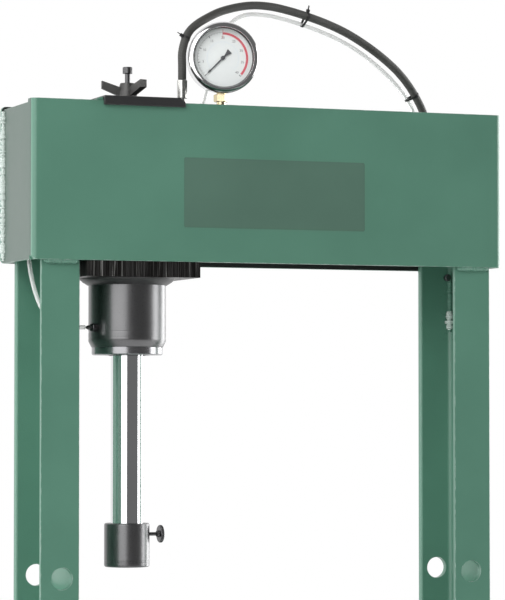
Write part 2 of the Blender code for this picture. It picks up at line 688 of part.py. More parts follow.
def make_manifold(parent):
    start = BARREL_D / 2 + GAP
    length = MANIFOLD_END - start
    middle = (start + length / 2, 0, MANIFOLD_TOP - MANIFOLD_SIZE / 2)
    block("port_manifold", (length, MANIFOLD_SIZE, MANIFOLD_SIZE), BLACK, parent, middle, 0.001)
    low = MANIFOLD_TOP + GAP
    seat = FERRULE_Z[0] - GAP
    turned("hose_adapter", [
        (0, seat), (0.0062, seat), (0.0062, low + 0.014), (0.011, low + 0.013), (0.011, low), (0, low)],
        STEEL, parent, (HOSE_PORT_X, 0, 0), sides=6)
    r = FERRULE_D / 2
    turned("hose_ferrule", [
        (0, FERRULE_Z[1]), (r - 0.0008, FERRULE_Z[1]), (r, FERRULE_Z[1] - 0.0008),
        (r, FERRULE_Z[0] + 0.001), (r - 0.001, FERRULE_Z[0]), (0, FERRULE_Z[0])],
        STEEL, parent, (HOSE_PORT_X, 0, 0), sides=24)


def make_gauge(parent):
    """Its own frame stands at the dial's centre, with heights counted towards the front."""
    case, rim, back = GAUGE_CASE_D / 2, GAUGE_RIM, -GAUGE_BACK
    inner = case - GAUGE_WALL
    shell = turned("gauge_case", [
        (0, back + GAUGE_WALL), (inner, back + GAUGE_WALL), (inner, rim), (case, rim),
        (case, back + 0.003), (case - 0.003, back), (0, back)], STEEL, parent, (0, 0, 0), FACE_FRONT, 40)
    boolean(shell, rod("stem_hole", STEM_D + 2 * GAP, 0.03, None, parent, (0, 0, -case), sides=20))
    out, lip = GAUGE_D / 2, BEZEL_LIP_R
    front, under = BEZEL_FRONT, rim + GAP + LENS_T + GAP
    turned("gauge_bezel", [
        (lip, front - 0.0008), (lip + 0.0008, front), (out - 0.0025, front), (out, front - 0.0025),
        (out, BEZEL_BACK), (case + GAP, BEZEL_BACK), (case + GAP, under), (lip, under)],
        STEEL, parent, (0, 0, 0), FACE_FRONT, 40, ring=True)
    glass = case - GAP
    turned("gauge_lens", [(0, rim + GAP + LENS_T), (glass, rim + GAP + LENS_T), (glass, rim + GAP),
                          (0, rim + GAP)], LENS, parent, (0, 0, 0), FACE_FRONT, 40)
    dial = inner - GAP
    turned("gauge_dial", [(0, DIAL_FRONT), (dial, DIAL_FRONT), (dial, DIAL_FRONT - DIAL_T),
                          (0, DIAL_FRONT - DIAL_T)], WHITE, parent, (0, 0, 0), FACE_FRONT, 40)
    turn = [math.radians(-90 + 250 * i / 20) for i in range(21)]
    arc_points = [(BOURDON_R * math.cos(a), 0.006, BOURDON_R * math.sin(a)) for a in turn]
    spring = tube_along("bourdon_tube", arc_points, 2 * BOURDON_WIRE_R, BRONZE, parent, 1)
    spring.location = (0, 0, 0)
    hex_top = -GAUGE_D / 2 - 0.0002
    hex_low = hex_top - HEX_H
    low = MANIFOLD_TOP + GAP - GAUGE_Z
    high = GAUGE_STEM_TOP - GAUGE_Z
    stem = rod("gauge_stem", STEM_D, high - low, BRASS, parent, (0, 0, (high + low) / 2), sides=20)
    boolean(stem, rod("stem_hex", HEX_D, HEX_H, None, parent, (0, 0, (hex_top + hex_low) / 2), sides=6),
            "UNION")


def make_pointer(parent):
    """Needle with a triangular tail. It points along its own +X before it is turned."""
    needle = [(-POINTER_TAIL, -0.0035), (-0.003, -0.0022), (0.004, -0.0012), (POINTER_L, -0.0003),
              (POINTER_L, 0.0003), (0.004, 0.0012), (-0.003, 0.0022), (-POINTER_TAIL, 0.0035)]
    height = DIAL_FRONT + GAP + 0.001
    blade = flat("gauge_pointer", [needle], POINTER_T, RUBBER, parent, (0, 0, 0), FACE_FRONT)
    blade.rotation_euler = (math.radians(90), math.radians(135), 0)
    blade.location = (0, -height - 0.0004, 0)
    hub = rod("pointer_hub", 0.007, 0.0026, None, parent, (0, -height - 0.0004, 0), FACE_FRONT, 16)
    boolean(blade, hub, "UNION")


# ---------------------------------------------------------------- ram
def make_ram(parent):
    r, bore = ROD_D / 2, ROD_BORE / 2
    top = PISTON_TOP
    turned("ram_rod", [
        (0, ROD_BOTTOM + ROD_FLOOR), (bore, ROD_BOTTOM + ROD_FLOOR), (bore, top), (r, top),
        (r, ROD_BOTTOM + 0.002), (r - 0.002, ROD_BOTTOM), (0, ROD_BOTTOM)], CHROME, parent)
    out = BARREL_BORE / 2 - RUN_CLEAR
    low = top - PISTON_T
    groove = out - PISTON_SEAL_DEPTH
    mid = top - PISTON_T / 2
    half = PISTON_SEAL_W / 2
    turned("ram_piston", [
        (r + GAP, top), (out - 0.001, top), (out, top - 0.001), (out, mid + half + GAP),
        (groove, mid + half + GAP), (groove, mid - half - GAP), (out, mid - half - GAP),
        (out, low + 0.001), (out - 0.001, low), (r + GAP, low)], STEEL, parent, ring=True)
    turned("piston_seal", [(groove + GAP, mid + half), (out, mid + half), (out, mid - half),
                           (groove + GAP, mid - half)], RUBBER, parent, ring=True)


def make_cap(parent):
    """Pressing cap on the rod's end. Its origin is on the ram's axis at the cap's top."""
    r, seat = CAP_D / 2, ROD_D / 2 + RUN_CLEAR
    e = CAP_EDGE_R
    rim = arc(r - e, -e, e, 90, 0, 2)
    foot = arc(r - e, -CAP_H + e, e, 0, -90, 2)
    cap = turned("ram_cap", [(0, -CAP_SOCKET), (seat, -CAP_SOCKET), (seat, 0)] + rim + foot + [(0, -CAP_H)],
                 BLACK, parent)
    middle = (seat + r) / 2
    boolean(cap, rod("screw_hole", SCREW_SHANK_D + 2 * GAP, 0.014, None, parent,
                     (middle, 0, -SCREW_DOWN), TO_RIGHT, 16))


def make_cap_screw(parent):
    """Knurled thumbscrew. Its origin is on its own axis, under the middle of its disc."""
    r, d, t = SCREW_SHANK_D / 2, SCREW_DISC_D / 2, SCREW_DISC_T / 2
    tip = -(SCREW_REACH - ROD_D / 2 - RUN_CLEAR)
    turned("cap_screw", [(0, t), (d - 0.0008, t), (d, t - 0.0008), (d, -t + 0.0008), (d - 0.0008, -t),
                         (0.0055, -t), (0.0055, -t - 0.004), (r, -t - 0.004), (r, tip), (0, tip)],
           BLACK, parent, (0, 0, 0), TO_RIGHT, 32)


# ---------------------------------------------------------------- hand pump
def make_pump_housing(parent):
    z0, z1 = TANK_Z - BRACKET_EAR, TANK_Z + TANK_H + BRACKET_EAR
    bracket = block("pump_bracket", (BRACKET_T, BRACKET_W, z1 - z0), GREEN, parent,
                    (BRACKET_X + BRACKET_T / 2, 0, (z0 + z1) / 2), 0.001)
    bolt_z = (z0 + BRACKET_EAR / 2, z1 - BRACKET_EAR / 2)
    post = bpy.data.objects["right_post"]
    for z, word in zip(bolt_z, ("lower", "upper")):
        place = (BRACKET_X, 0, z)
        boolean(bracket, rod("bracket_hole_" + word, 0.0106, 0.03, None, parent, place, TO_RIGHT, 16))
        boolean(post, rod("post_bolt_hole_" + word, 0.0106, 0.03, None, parent, place, TO_RIGHT, 16))
        head = BRACKET_X + BRACKET_T + GAP
        tip = -(BRACKET_T + POST_WEB + 0.010)
        turned("bracket_bolt_" + word, [
            (0, 0.0064), (0.008, 0.0064), (0.0095, 0.0054), (0.0095, 0.0), (0.005, 0.0), (0.005, tip),
            (0, tip)], STEEL, parent, (head, 0, z), TO_RIGHT, 6)
    size = (TANK_W, TANK_D, TANK_H)
    middle = (TANK_X + TANK_W / 2, 0, TANK_Z + TANK_H / 2)
    tank = block("pump_tank", size, GREEN, parent, middle, 0.006)
    boolean(tank, block("tank_hollow", tuple(s - 2 * TANK_WALL for s in size), None, parent, middle, 0.004))
    filler = (TANK_X + 0.035, -TANK_D / 4, TANK_Z + TANK_H)
    boolean(tank, rod("filler_hole", FILLER_D, 4 * TANK_WALL, None, parent, filler, sides=24))
    r = FILLER_D / 2
    turned("filler_plug", [
        (0, 0.011), (r + 0.002, 0.011), (r + 0.003, 0.010), (r + 0.003, GAP), (r - GAP, GAP),
        (r - GAP, -0.010), (0, -0.010)], BLACK, parent, filler, sides=24)


def make_pump_block(parent):
    body = block("pump_block", (BLOCK_W, BLOCK_D, BLOCK_H), BLACK, parent,
                 (PUMP_X, 0, BLOCK_Z + BLOCK_H / 2), 0.0015)
    top = BLOCK_Z + BLOCK_H
    lug_r = 0.012
    lug = [(PIVOT_Y - lug_r, top - 0.002), (PIVOT_Y + lug_r, top - 0.002)]
    lug += arc(PIVOT_Y, PIVOT_Z, lug_r, 0, 180, 8)
    boolean(body, flat("pivot_lug", [lug], LUG_W, None, parent, (PUMP_X, 0, 0), FACE_SIDE), "UNION")
    boolean(body, rod("plunger_bore", PLUNGER_D + 2 * RUN_CLEAR, 0.150, None, parent,
                      (PUMP_X, PLUNGER_Y, top), sides=24))
    boolean(body, rod("pivot_bore", PIVOT_PIN_D + 2 * RUN_CLEAR, 0.06, None, parent,
                      (PUMP_X, PIVOT_Y, PIVOT_Z), TO_RIGHT, 20))
    rear = BLOCK_D / 2 + GAP
    outlet_z = BLOCK_Z + OUTLET_UP
    elbow = rod("pump_outlet", 0.014, OUTLET_OUT, STEEL, parent,
                (PUMP_X, rear + OUTLET_OUT / 2, outlet_z), (math.radians(90), 0, 0), 20)
    boolean(elbow, rod("outlet_nut", 0.022, 0.010, None, parent, (PUMP_X, rear + 0.005, outlet_z),
                       (math.radians(90), 0, 0), 6), "UNION")
    rise = OUTLET_RISE
    boolean(elbow, rod("outlet_ferrule", FERRULE_D, rise, None, parent,
                       (PUMP_X, rear + OUTLET_OUT - FERRULE_D / 2, outlet_z + rise / 2 - 0.007)), "UNION")
    turned("tank_barb", [
        (0, 0.016), (0.0026, 0.016), (0.0036, 0.012), (0.0026, 0.0115), (0.0026, 0.009), (0.0055, 0.009),
        (0.0055, 0.0), (0, 0.0)], BLACK, parent,
        (TANK_X + 0.045, 0.045, TANK_Z + TANK_H + GAP), (0, 0, 0), 20)


def make_release_knob(parent):
    """Its origin is on its own axis at the pump block's front face."""
    k = KNOB_D / 2
    turned("release_knob", [
        (0, 0.012 + KNOB_L), (k - 0.004, 0.012 + KNOB_L), (k, 0.008 + KNOB_L), (k, 0.014), (k - 0.002, 0.012),
        (0.0075, 0.012), (0.0075, GAP), (0, GAP)], RED, parent, (0, 0, 0), FACE_FRONT, 24)


def make_plunger(parent):
    """Its origin is on the plunger's axis, level with the drive pin."""
    head_h = 0.022
    head = block("pump_plunger", (LUG_W, PLUNGER_HEAD_D, head_h), STEEL, parent, (0, 0, 0), 0.001)
    rod_l = 0.075
    boolean(head, rod("plunger_rod", PLUNGER_D, rod_l, None, parent, (0, 0, -head_h / 2 - rod_l / 2 + 0.002),
                      sides=24), "UNION")
    slot_h = DRIVE_PIN_D + 0.0016
    boolean(head, block("drive_slot", (LUG_W * 2, PLUNGER_SLOT_W, slot_h), None, parent, (0, 0, 0)))


def make_lever(parent):
    """Its frame stands on the pivot, with its own +Z along the lever."""
    rise = DRIVE_RISE - LEVER_LEAN
    drive_y, drive_z = -DRIVE_R * math.cos(rise), DRIVE_R * math.sin(rise)
    side = [(0.014, -0.006), (0.017, 0.070), (-0.017, 0.070), (-0.036, 0.034), (-0.037, 0.012),
            (-0.024, 0.006), (-0.008, -0.013), (0.004, -0.014)]
    yoke = flat("lever_yoke", [side], YOKE_W, BLACK, parent, (0, 0, 0), FACE_SIDE)
    boolean(yoke, block("yoke_slot", (YOKE_SLOT, 0.12, 0.10), None, parent, (0, 0, 0)))
    boolean(yoke, rod("yoke_socket", GRIP_D, 0.070, None, parent, (0, 0, 0.090)), "UNION")
    bar = LEVER_BAR_D + 2 * GAP
    boolean(yoke, rod("yoke_bore", bar, 0.080, None, parent, (0, 0, 0.065 + 0.040)))
    for name, y, z, d in (("pivot", 0, 0, PIVOT_PIN_D), ("drive", drive_y, drive_z, DRIVE_PIN_D)):
        boolean(yoke, rod("yoke_" + name + "_hole", d + 2 * GAP, 0.08, None, parent, (0, y, z), TO_RIGHT, 20))
        rod("lever_" + name + "_pin", d, YOKE_W + 0.006, STEEL, parent, (0, y, z), TO_RIGHT, 20)
    rod("lever_bar", LEVER_BAR_D, LEVER_L - 0.066, GREEN, parent, (0, 0, (LEVER_L + 0.066) / 2), sides=24)
    r, g = LEVER_BAR_D / 2 + GAP, GRIP_D / 2
    end = LEVER_L + 0.004
    turned("lever_grip", [
        (0, end), (g - 0.003, end), (g, end - 0.003), (g, end - GRIP_L + 0.002), (g - 0.002, end - GRIP_L),
        (r, end - GRIP_L), (r, LEVER_L + GAP), (0, LEVER_L + GAP)], RUBBER, parent, sides=24)


# ---------------------------------------------------------------- assembly
def from_beam(point):
    x, y, z = point
    return (x, y, z + BEAM_Z)


def build():
    press = empty("press", None, (SHIFT_X, 0, 0))
    make_frame(press)
    make_pump_housing(press)
    make_pump_block(press)
    hose = smooth_line([from_beam(p) for p in HOSE_ROUTE], 0.030)
    tube_along("hydraulic_hose", hose, HOSE_D, HOSE, press, 2)
    line = smooth_line([from_beam(p) for p in TUBE_ROUTE], 0.036)
    tube_along("return_tube", line, TUBE_D, CLEAR, press, 2)

    table = empty("table", press, (0, 0, TABLE_Z))
    make_table(table)
    for sign, word in ((-1, "left"), (1, "right")):
        pin = empty("table_pin_axis_" + word, press, (sign * PIN_X, 0, TABLE_PIN_Z))
        make_table_pin("table_pin_" + word, pin)

    head = empty("head", press, (HEAD_X, 0, BEAM_Z))
    make_cylinder(head)
    make_barb(head)
    make_spring(head)
    make_clamp(head)
    make_manifold(head)
    gauge = empty("gauge", head, (GAUGE_PORT_X, 0, GAUGE_Z))
    gauge.rotation_euler = (0, 0, -GAUGE_TURN)
    make_gauge(gauge)
    make_pointer(empty("gauge_pointer_axis", gauge, (0, 0, 0)))
    make_wing_nut(empty("wing_nut_axis", head, (0, 0, BEAM_H + 2 * GAP + CLAMP_T)))

    ram = empty("ram", head, (0, 0, 0))
    make_ram(ram)
    cap = empty("cap", ram, (0, 0, CAP_TOP))
    make_cap(cap)
    make_cap_screw(empty("cap_screw_axis", cap, (SCREW_REACH, 0, -SCREW_DOWN)))

    lever = empty("lever", press, (PUMP_X, PIVOT_Y, PIVOT_Z))
    lever.rotation_euler = (-LEVER_LEAN, 0, 0)
    make_lever(lever)
    drive = DRIVE_R * math.sin(DRIVE_RISE)
    make_plunger(empty("plunger_axis", press, (PUMP_X, PLUNGER_Y, PIVOT_Z + drive)))
    knob = empty("release_knob_axis", press, (PUMP_X, -BLOCK_D / 2, BLOCK_Z + 0.030))
    make_release_knob(knob)


build()
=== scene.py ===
# %% [markdown]
# # A hydraulic shop press
# A shop press is a welded steel frame with a hydraulic cylinder hung from its beam. This lesson gives
# every piece of it its finish. The measured CAD model is loaded first and is never moved. Where a CAD
# piece is too plain, a finer piece takes its place.

# %% Load the fixed frame
import json
import math
import random

import bmesh
import bpy
from mathutils import Matrix, Vector, noise

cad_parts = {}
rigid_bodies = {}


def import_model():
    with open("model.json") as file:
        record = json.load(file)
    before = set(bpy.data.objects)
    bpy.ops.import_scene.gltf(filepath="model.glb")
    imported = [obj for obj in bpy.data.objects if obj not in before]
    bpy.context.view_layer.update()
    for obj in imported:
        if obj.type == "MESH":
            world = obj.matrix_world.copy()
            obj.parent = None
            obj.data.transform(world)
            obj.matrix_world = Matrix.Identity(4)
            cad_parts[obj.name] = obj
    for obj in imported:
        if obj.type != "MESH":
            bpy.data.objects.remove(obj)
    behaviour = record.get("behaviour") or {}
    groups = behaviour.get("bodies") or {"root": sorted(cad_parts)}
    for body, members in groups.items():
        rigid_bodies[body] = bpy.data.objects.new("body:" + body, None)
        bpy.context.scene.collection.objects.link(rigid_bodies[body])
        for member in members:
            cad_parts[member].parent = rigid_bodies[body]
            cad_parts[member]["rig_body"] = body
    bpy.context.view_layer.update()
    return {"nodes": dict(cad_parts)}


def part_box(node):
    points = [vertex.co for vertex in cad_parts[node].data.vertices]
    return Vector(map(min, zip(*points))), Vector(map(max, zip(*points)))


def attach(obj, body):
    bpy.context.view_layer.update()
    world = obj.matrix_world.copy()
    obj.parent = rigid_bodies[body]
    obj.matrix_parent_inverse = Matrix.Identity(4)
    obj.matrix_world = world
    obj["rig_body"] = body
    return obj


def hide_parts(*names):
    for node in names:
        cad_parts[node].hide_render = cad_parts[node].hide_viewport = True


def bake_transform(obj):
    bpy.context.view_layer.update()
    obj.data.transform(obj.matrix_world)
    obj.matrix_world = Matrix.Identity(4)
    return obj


# The noise module starts from the clock unless it is seeded, so it is seeded once here.
noise.seed_set(1)
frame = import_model()
nodes = frame["nodes"]

# %% [markdown]
# ## The camera
# The press is seen from its left and from a long way off with a long lens, so its upright lines stay
# nearly parallel. A wide lens near by would show the same pieces, but the beam would shrink towards the
# right. The camera looks up by two degrees and turns 21 degrees towards the right.

# %% Camera
CAMERA_PLACE = Vector((-1.793, -4.467, 1.299))
CAMERA_YAW = math.radians(-21.0)
CAMERA_TILT = math.radians(92.19)
CAMERA_LENS = 185.7

camera_data = bpy.data.cameras.new("studio_camera")
camera_data.lens = CAMERA_LENS
camera_data.sensor_width = 36.0
camera_data.clip_end = 100.0
camera = bpy.data.objects.new("studio_camera", camera_data)
camera.location = CAMERA_PLACE
camera.rotation_euler = (CAMERA_TILT, 0.0, CAMERA_YAW)
bpy.context.scene.collection.objects.link(camera)
bpy.context.scene.camera = camera
print("camera at", tuple(CAMERA_PLACE), "lens", CAMERA_LENS)

# %% [markdown]
# ## Where things are
# Every place is taken from the CAD pieces' boxes. The head's axis and the beam's underside are named once,
# because most pieces are measured from them.

# %% Named places
def middle(node):
    low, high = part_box(node)
    return (low + high) / 2


def body_of(node):
    return nodes[node]["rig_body"]


beam_low, beam_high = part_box("beam_front_plate")
BEAM_UNDER = beam_low.z
HEAD_X = middle("cylinder_barrel").x
print("head axis", round(HEAD_X, 4), "beam underside", round(BEAM_UNDER, 4))

# %% [markdown]
# ## Material helpers
# Paint, steel and rubber look real when their gloss and colour change a little over the surface. The
# changes that several finishes share are node groups with named inputs. A group only gives out masks
# and heights. Each finish keeps its own shader.

# %% Node group helpers
def new_group(name, inputs, outputs):
    group = bpy.data.node_groups.new(name, "ShaderNodeTree")
    for label, kind, value in inputs:
        socket = group.interface.new_socket(name=label, in_out="INPUT", socket_type=kind)
        if value is not None:
            socket.default_value = value
    for label, kind in outputs:
        group.interface.new_socket(name=label, in_out="OUTPUT", socket_type=kind)
    entry = group.nodes.new("NodeGroupInput")
    leave = group.nodes.new("NodeGroupOutput")
    return group, entry, leave


def node(tree, kind, settings=None, inputs=None):
    """Adds a node. inputs maps a socket to a value or to the output that feeds it."""
    made = tree.nodes.new(kind)
    for key, value in (settings or {}).items():
        setattr(made, key, value)
    for key, value in (inputs or {}).items():
        if isinstance(value, bpy.types.NodeSocket):
            tree.links.new(value, made.inputs[key])
        else:
            made.inputs[key].default_value = value
    return made


def maths(tree, operation, a, b):
    return node(tree, "ShaderNodeMath", {"operation": operation}, {0: a, 1: b}).outputs[0]


def spread(tree, value, low, high, to_low=0.0, to_high=1.0):
    """Stretches a range of values to another one, and holds it there."""
    return node(tree, "ShaderNodeMapRange", {"clamp": True},
                {0: value, 1: low, 2: high, 3: to_low, 4: to_high}).outputs[0]


print("helpers:", "new_group, node, maths, spread")

# %% [markdown]
# No real surface is one flat tone. This group mixes nothing itself: it gives a soft patchy value and a
# fine speckled one, and each finish uses them for its own colour, gloss and bump.

# %% Mottle: soft change over the surface, with fine specks
mottle, entry, leave = new_group(
    "mottle",
    [("Patch Size", "NodeSocketFloat", 9.0), ("Speck Size", "NodeSocketFloat", 900.0)],
    [("Patches", "NodeSocketFloat"), ("Specks", "NodeSocketFloat")])
place = node(mottle, "ShaderNodeTexCoord").outputs["Object"]
patch = node(mottle, "ShaderNodeTexNoise", {}, {"Vector": place, "Scale": entry.outputs[0], "Detail": 4.0})
speck = node(mottle, "ShaderNodeTexNoise", {}, {"Vector": place, "Scale": entry.outputs[1], "Detail": 2.0})
mottle.links.new(spread(mottle, patch.outputs[0], 0.3, 0.7), leave.inputs[0])
mottle.links.new(spread(mottle, speck.outputs[0], 0.3, 0.7), leave.inputs[1])
print("group:", mottle.name)

# %% [markdown]
# Paint wears through first where a surface turns sharply, and a sharp edge also catches a thin line of
# light, so the lighter edge colour is partly worn paint and partly a painted highlight. The bevel node's
# rounded normal and the true one differ only there, so their dot product finds the edges, and noise
# breaks the mask up.

# %% Worn edges and painted highlight: where the surface turns sharply
edge_wear_highlight, entry, leave = new_group(
    "edge_wear_and_highlight",
    [("Reach", "NodeSocketFloat", 0.0015), ("Breakup", "NodeSocketFloat", 120.0)],
    [("Wear And Highlight", "NodeSocketFloat")])
rounded = node(edge_wear_highlight, "ShaderNodeBevel", {"samples": 3}, {"Radius": entry.outputs[0]}).outputs[0]
flat_normal = node(edge_wear_highlight, "ShaderNodeNewGeometry").outputs["Normal"]
same = node(edge_wear_highlight, "ShaderNodeVectorMath", {"operation": "DOT_PRODUCT"}, {0: rounded, 1: flat_normal})
place = node(edge_wear_highlight, "ShaderNodeTexCoord").outputs["Object"]
broken = node(edge_wear_highlight, "ShaderNodeTexNoise", {}, {"Vector": place, "Scale": entry.outputs[1], "Detail": 3.0})
edge = spread(edge_wear_highlight, same.outputs["Value"], 0.995, 0.93)
# The mask is partly paint wear and partly a painted highlight along sharp edges.
edge_wear_highlight.links.new(maths(edge_wear_highlight, "MULTIPLY", edge, spread(edge_wear_highlight, broken.outputs[0], 0.42, 0.62)), leave.inputs[0])
print("group:", edge_wear_highlight.name)

# %% [markdown]
# A lathe and a drawing die leave fine lines that all run one way. Noise looks like them when one of its
# axes is scaled far more than the others.

# %% Drawn lines: fine lines from a lathe or a drawing die
lines, entry, leave = new_group(
    "drawn_lines",
    [("Vector", "NodeSocketVector", None), ("Scale", "NodeSocketVector", (4.0, 4.0, 900.0))],
    [("Lines", "NodeSocketFloat")])
stretched = node(lines, "ShaderNodeVectorMath", {"operation": "MULTIPLY"},
                 {0: entry.outputs[0], 1: entry.outputs[1]}).outputs[0]
grain = node(lines, "ShaderNodeTexNoise", {}, {"Vector": stretched, "Scale": 1.0, "Detail": 3.0})
lines.links.new(spread(lines, grain.outputs[0], 0.3, 0.7), leave.inputs[0])
print("shared groups:", mottle.name, edge_wear_highlight.name, lines.name)

# %% [markdown]
# ## The finishes
# The frame is sprayed with a smooth, half-gloss green enamel. Sprayed paint has a faint orange peel,
# a few dust nibs, and it is thinner on edges; the lighter colour on edges is partly that wear and partly
# a painted highlight. The head's steel is chemically blackened, so it mirrors softly like metal but
# dark. The rod is hard chrome.

# %% A shader with colour, gloss and bump
def finish(name, colour, roughness, metallic=0.0, **plain):
    made = bpy.data.materials.new(name)
    made.use_nodes = True
    shader = made.node_tree.nodes["Principled BSDF"]
    shader.inputs["Base Color"].default_value = (*colour, 1.0)
    shader.inputs["Roughness"].default_value = roughness
    shader.inputs["Metallic"].default_value = metallic
    for key, value in plain.items():
        shader.inputs[key.replace("_", " ")].default_value = value
    return made, made.node_tree, shader


def use_group(tree, group, **values):
    made = node(tree, "ShaderNodeGroup", {"node_tree": group})
    for key, value in values.items():
        made.inputs[key.replace("_", " ")].default_value = value
    return made


def blend_colour(tree, factor, a, b):
    mixed = node(tree, "ShaderNodeMix", {"data_type": "RGBA"})
    for index, value in ((0, factor), (6, a), (7, b)):
        if isinstance(value, bpy.types.NodeSocket):
            tree.links.new(value, mixed.inputs[index])
        else:
            mixed.inputs[index].default_value = (*value, 1.0) if isinstance(value, tuple) else value
    return mixed.outputs[2]


def bump(tree, shader, height, depth):
    made = node(tree, "ShaderNodeBump", {}, {"Height": height, "Distance": depth, "Strength": 1.0})
    tree.links.new(made.outputs[0], shader.inputs["Normal"])


def painted(name, colour, edge_tone, rough, wear_and_highlight=True, peel=0.00006, coat=0.0):
    """Sprayed paint: colour is the film, thin the lighter edge tone, part wear, part painted highlight."""
    made, tree, shader = finish(name, colour, rough, Coat_Weight=coat, Coat_Roughness=0.12)
    cover = use_group(tree, mottle, Patch_Size=7.0, Speck_Size=420.0)
    patches, specks = cover.outputs
    darker = tuple(c * 0.93 for c in colour)
    lighter = tuple(min(1.0, c * 1.05) for c in colour)
    film = blend_colour(tree, patches, darker, lighter)
    if wear_and_highlight:
        # Lighter along sharp edges: partly worn paint, partly a painted highlight.
        rub_and_highlight = use_group(tree, edge_wear_highlight, Reach=0.0016, Breakup=90.0)
        film = blend_colour(tree, maths(tree, "MULTIPLY", rub_and_highlight.outputs[0], 0.85), film, edge_tone)
    tree.links.new(film, shader.inputs["Base Color"])
    tree.links.new(spread(tree, patches, 0.0, 1.0, rough - 0.04, rough + 0.06), shader.inputs["Roughness"])
    bump(tree, shader, specks, peel)
    return made


def metal(name, colour, rough, scale=None, depth=0.00002, dark=0.8):
    """Bare or blackened metal. A scale gives it drawn lines, which run across the scale's largest axis."""
    made, tree, shader = finish(name, colour, rough, 1.0)
    cover = use_group(tree, mottle, Patch_Size=14.0, Speck_Size=1100.0)
    patches, specks = cover.outputs
    shade = blend_colour(tree, patches, tuple(c * dark for c in colour), colour)
    tree.links.new(shade, shader.inputs["Base Color"])
    height = specks
    if scale:
        place = node(tree, "ShaderNodeTexCoord").outputs["Object"]
        drawn = use_group(tree, lines, Scale=scale)
        tree.links.new(place, drawn.inputs["Vector"])
        height = drawn.outputs[0]
    tree.links.new(spread(tree, height, 0.0, 1.0, rough * 0.85, rough * 1.2), shader.inputs["Roughness"])
    bump(tree, shader, height, depth)
    return made


print("helpers:", "finish, use_group, blend_colour, bump, painted, metal")

# %% [markdown]
# Each finish is one call with its own colour and gloss.

# %% The press's own finishes
GREEN = painted("green_enamel", (0.090, 0.224, 0.160), (0.46, 0.54, 0.50), 0.34, coat=0.12)
GREEN_WELD = painted("green_weld", (0.100, 0.235, 0.172), (0.30, 0.40, 0.35), 0.26, wear_and_highlight=False, peel=0.0002)
# Painted highlight: a pale silver-green that stands for the glint on the beam-end beads and the low bead in
# the right post.
WELD_PAINTED_HIGHLIGHT = painted("weld_painted_highlight", (0.58, 0.66, 0.62), (0.60, 0.66, 0.62), 0.20, wear_and_highlight=False, peel=0.0006,
                      coat=0.6)
# Painted shade: a darker, greyer green that stands for how the light falls on the beam's left end face.
GREEN_END_SHADED = painted("green_enamel_end_painted_shade", (0.078, 0.118, 0.098), (0.46, 0.54, 0.50), 0.38, coat=0.12)
BLACK_PAINT = painted("black_enamel", (0.026, 0.026, 0.027), (0.07, 0.07, 0.07), 0.36)
# Painted shade: near-black for the rear plate's inner face, which lies in the beam's shadow.
INSIDE_PAINTED_SHADE = painted("painted_shade_inside", (0.010, 0.013, 0.012), (0.02, 0.03, 0.03), 0.6, wear_and_highlight=False)


def flame_cut():
    """Black scale with upright drag lines, and here and there a bright scar."""
    made, tree, shader = finish("flame_cut_black", (0.04, 0.04, 0.04), 0.36, 1.0)
    place = node(tree, "ShaderNodeTexCoord").outputs["Object"]
    fine = use_group(tree, lines, Scale=(520.0, 520.0, 6.0))
    scars = use_group(tree, lines, Scale=(210.0, 210.0, 2.0))
    for drawn in (fine, scars):
        tree.links.new(place, drawn.inputs["Vector"])
    tone = blend_colour(tree, spread(tree, fine.outputs[0], 0.40, 0.66),
                        (0.022, 0.021, 0.020), (0.062, 0.061, 0.060))
    tone = blend_colour(tree, spread(tree, scars.outputs[0], 0.84, 0.92), tone, (0.30, 0.30, 0.29))
    tree.links.new(tone, shader.inputs["Base Color"])
    bump(tree, shader, fine.outputs[0], 0.0004)
    return made


CUT_EDGE = flame_cut()
GLAND_STEEL = metal("gland_steel", (0.33, 0.33, 0.34), 0.22, depth=0.000003)
BLUED = metal("blued_steel", (0.175, 0.175, 0.178), 0.31, depth=0.0000015, dark=0.9)
BLACK_OXIDE = metal("black_oxide", (0.12, 0.12, 0.123), 0.33, depth=0.00003)
CAST_BLACK = metal("cast_black", (0.115, 0.114, 0.112), 0.40, depth=0.00018)
CHROME = metal("hard_chrome_plate", (0.80, 0.81, 0.82), 0.055, (2.0, 2.0, 1500.0), 0.0000015, dark=0.96)
STEEL = metal("machined_steel", (0.50, 0.50, 0.51), 0.28, (3.0, 3.0, 1200.0), 0.00001)
ZINC = metal("zinc_plate", (0.62, 0.62, 0.60), 0.24, depth=0.00001)
STAINLESS = metal("polished_stainless", (0.72, 0.72, 0.73), 0.11, depth=0.000004, dark=0.92)
BRASS = metal("machined_brass", (0.80, 0.68, 0.44), 0.2, depth=0.00001)
BRONZE = metal("tin_bronze", (0.50, 0.33, 0.16), 0.3, depth=0.00001)
SEAL = painted("seal_rubber_black", (0.016, 0.016, 0.016), (0.03, 0.03, 0.03), 0.55, wear_and_highlight=False)
NYLON = painted("tie_nylon", (0.018, 0.018, 0.019), (0.05, 0.05, 0.05), 0.4, wear_and_highlight=False)
RED = painted("knob_red_plastic", (0.45, 0.020, 0.015), (0.5, 0.1, 0.08), 0.3, wear_and_highlight=False)
DIAL = painted("dial_white_enamel", (0.61, 0.62, 0.62), (0.8, 0.8, 0.8), 0.42, wear_and_highlight=False, peel=0.000004)
INK = painted("dial_black_ink", (0.03, 0.03, 0.035), (0.03, 0.03, 0.03), 0.5, wear_and_highlight=False, peel=0.0)
RED_INK = painted("dial_red_ink", (0.52, 0.060, 0.085), (0.4, 0.06, 0.08), 0.5, wear_and_highlight=False, peel=0.0)
BLUE_INK = painted("dial_blue_ink", (0.48, 0.55, 0.63), (0.48, 0.55, 0.63), 0.5, wear_and_highlight=False, peel=0.0)
FILM = painted("label_film", (0.088, 0.170, 0.128), (0.2, 0.3, 0.26), 0.2, wear_and_highlight=False, peel=0.00001, coat=0.3)

# %% [markdown]
# Hose rubber is matt with a fine cloth print from the cure wrap. The return tube is clear PVC, milky
# with oil film: about half of the light goes through it. The gauge's lens is glass. Lamps have to reach
# the dial behind it, so for shadow rays it is open.

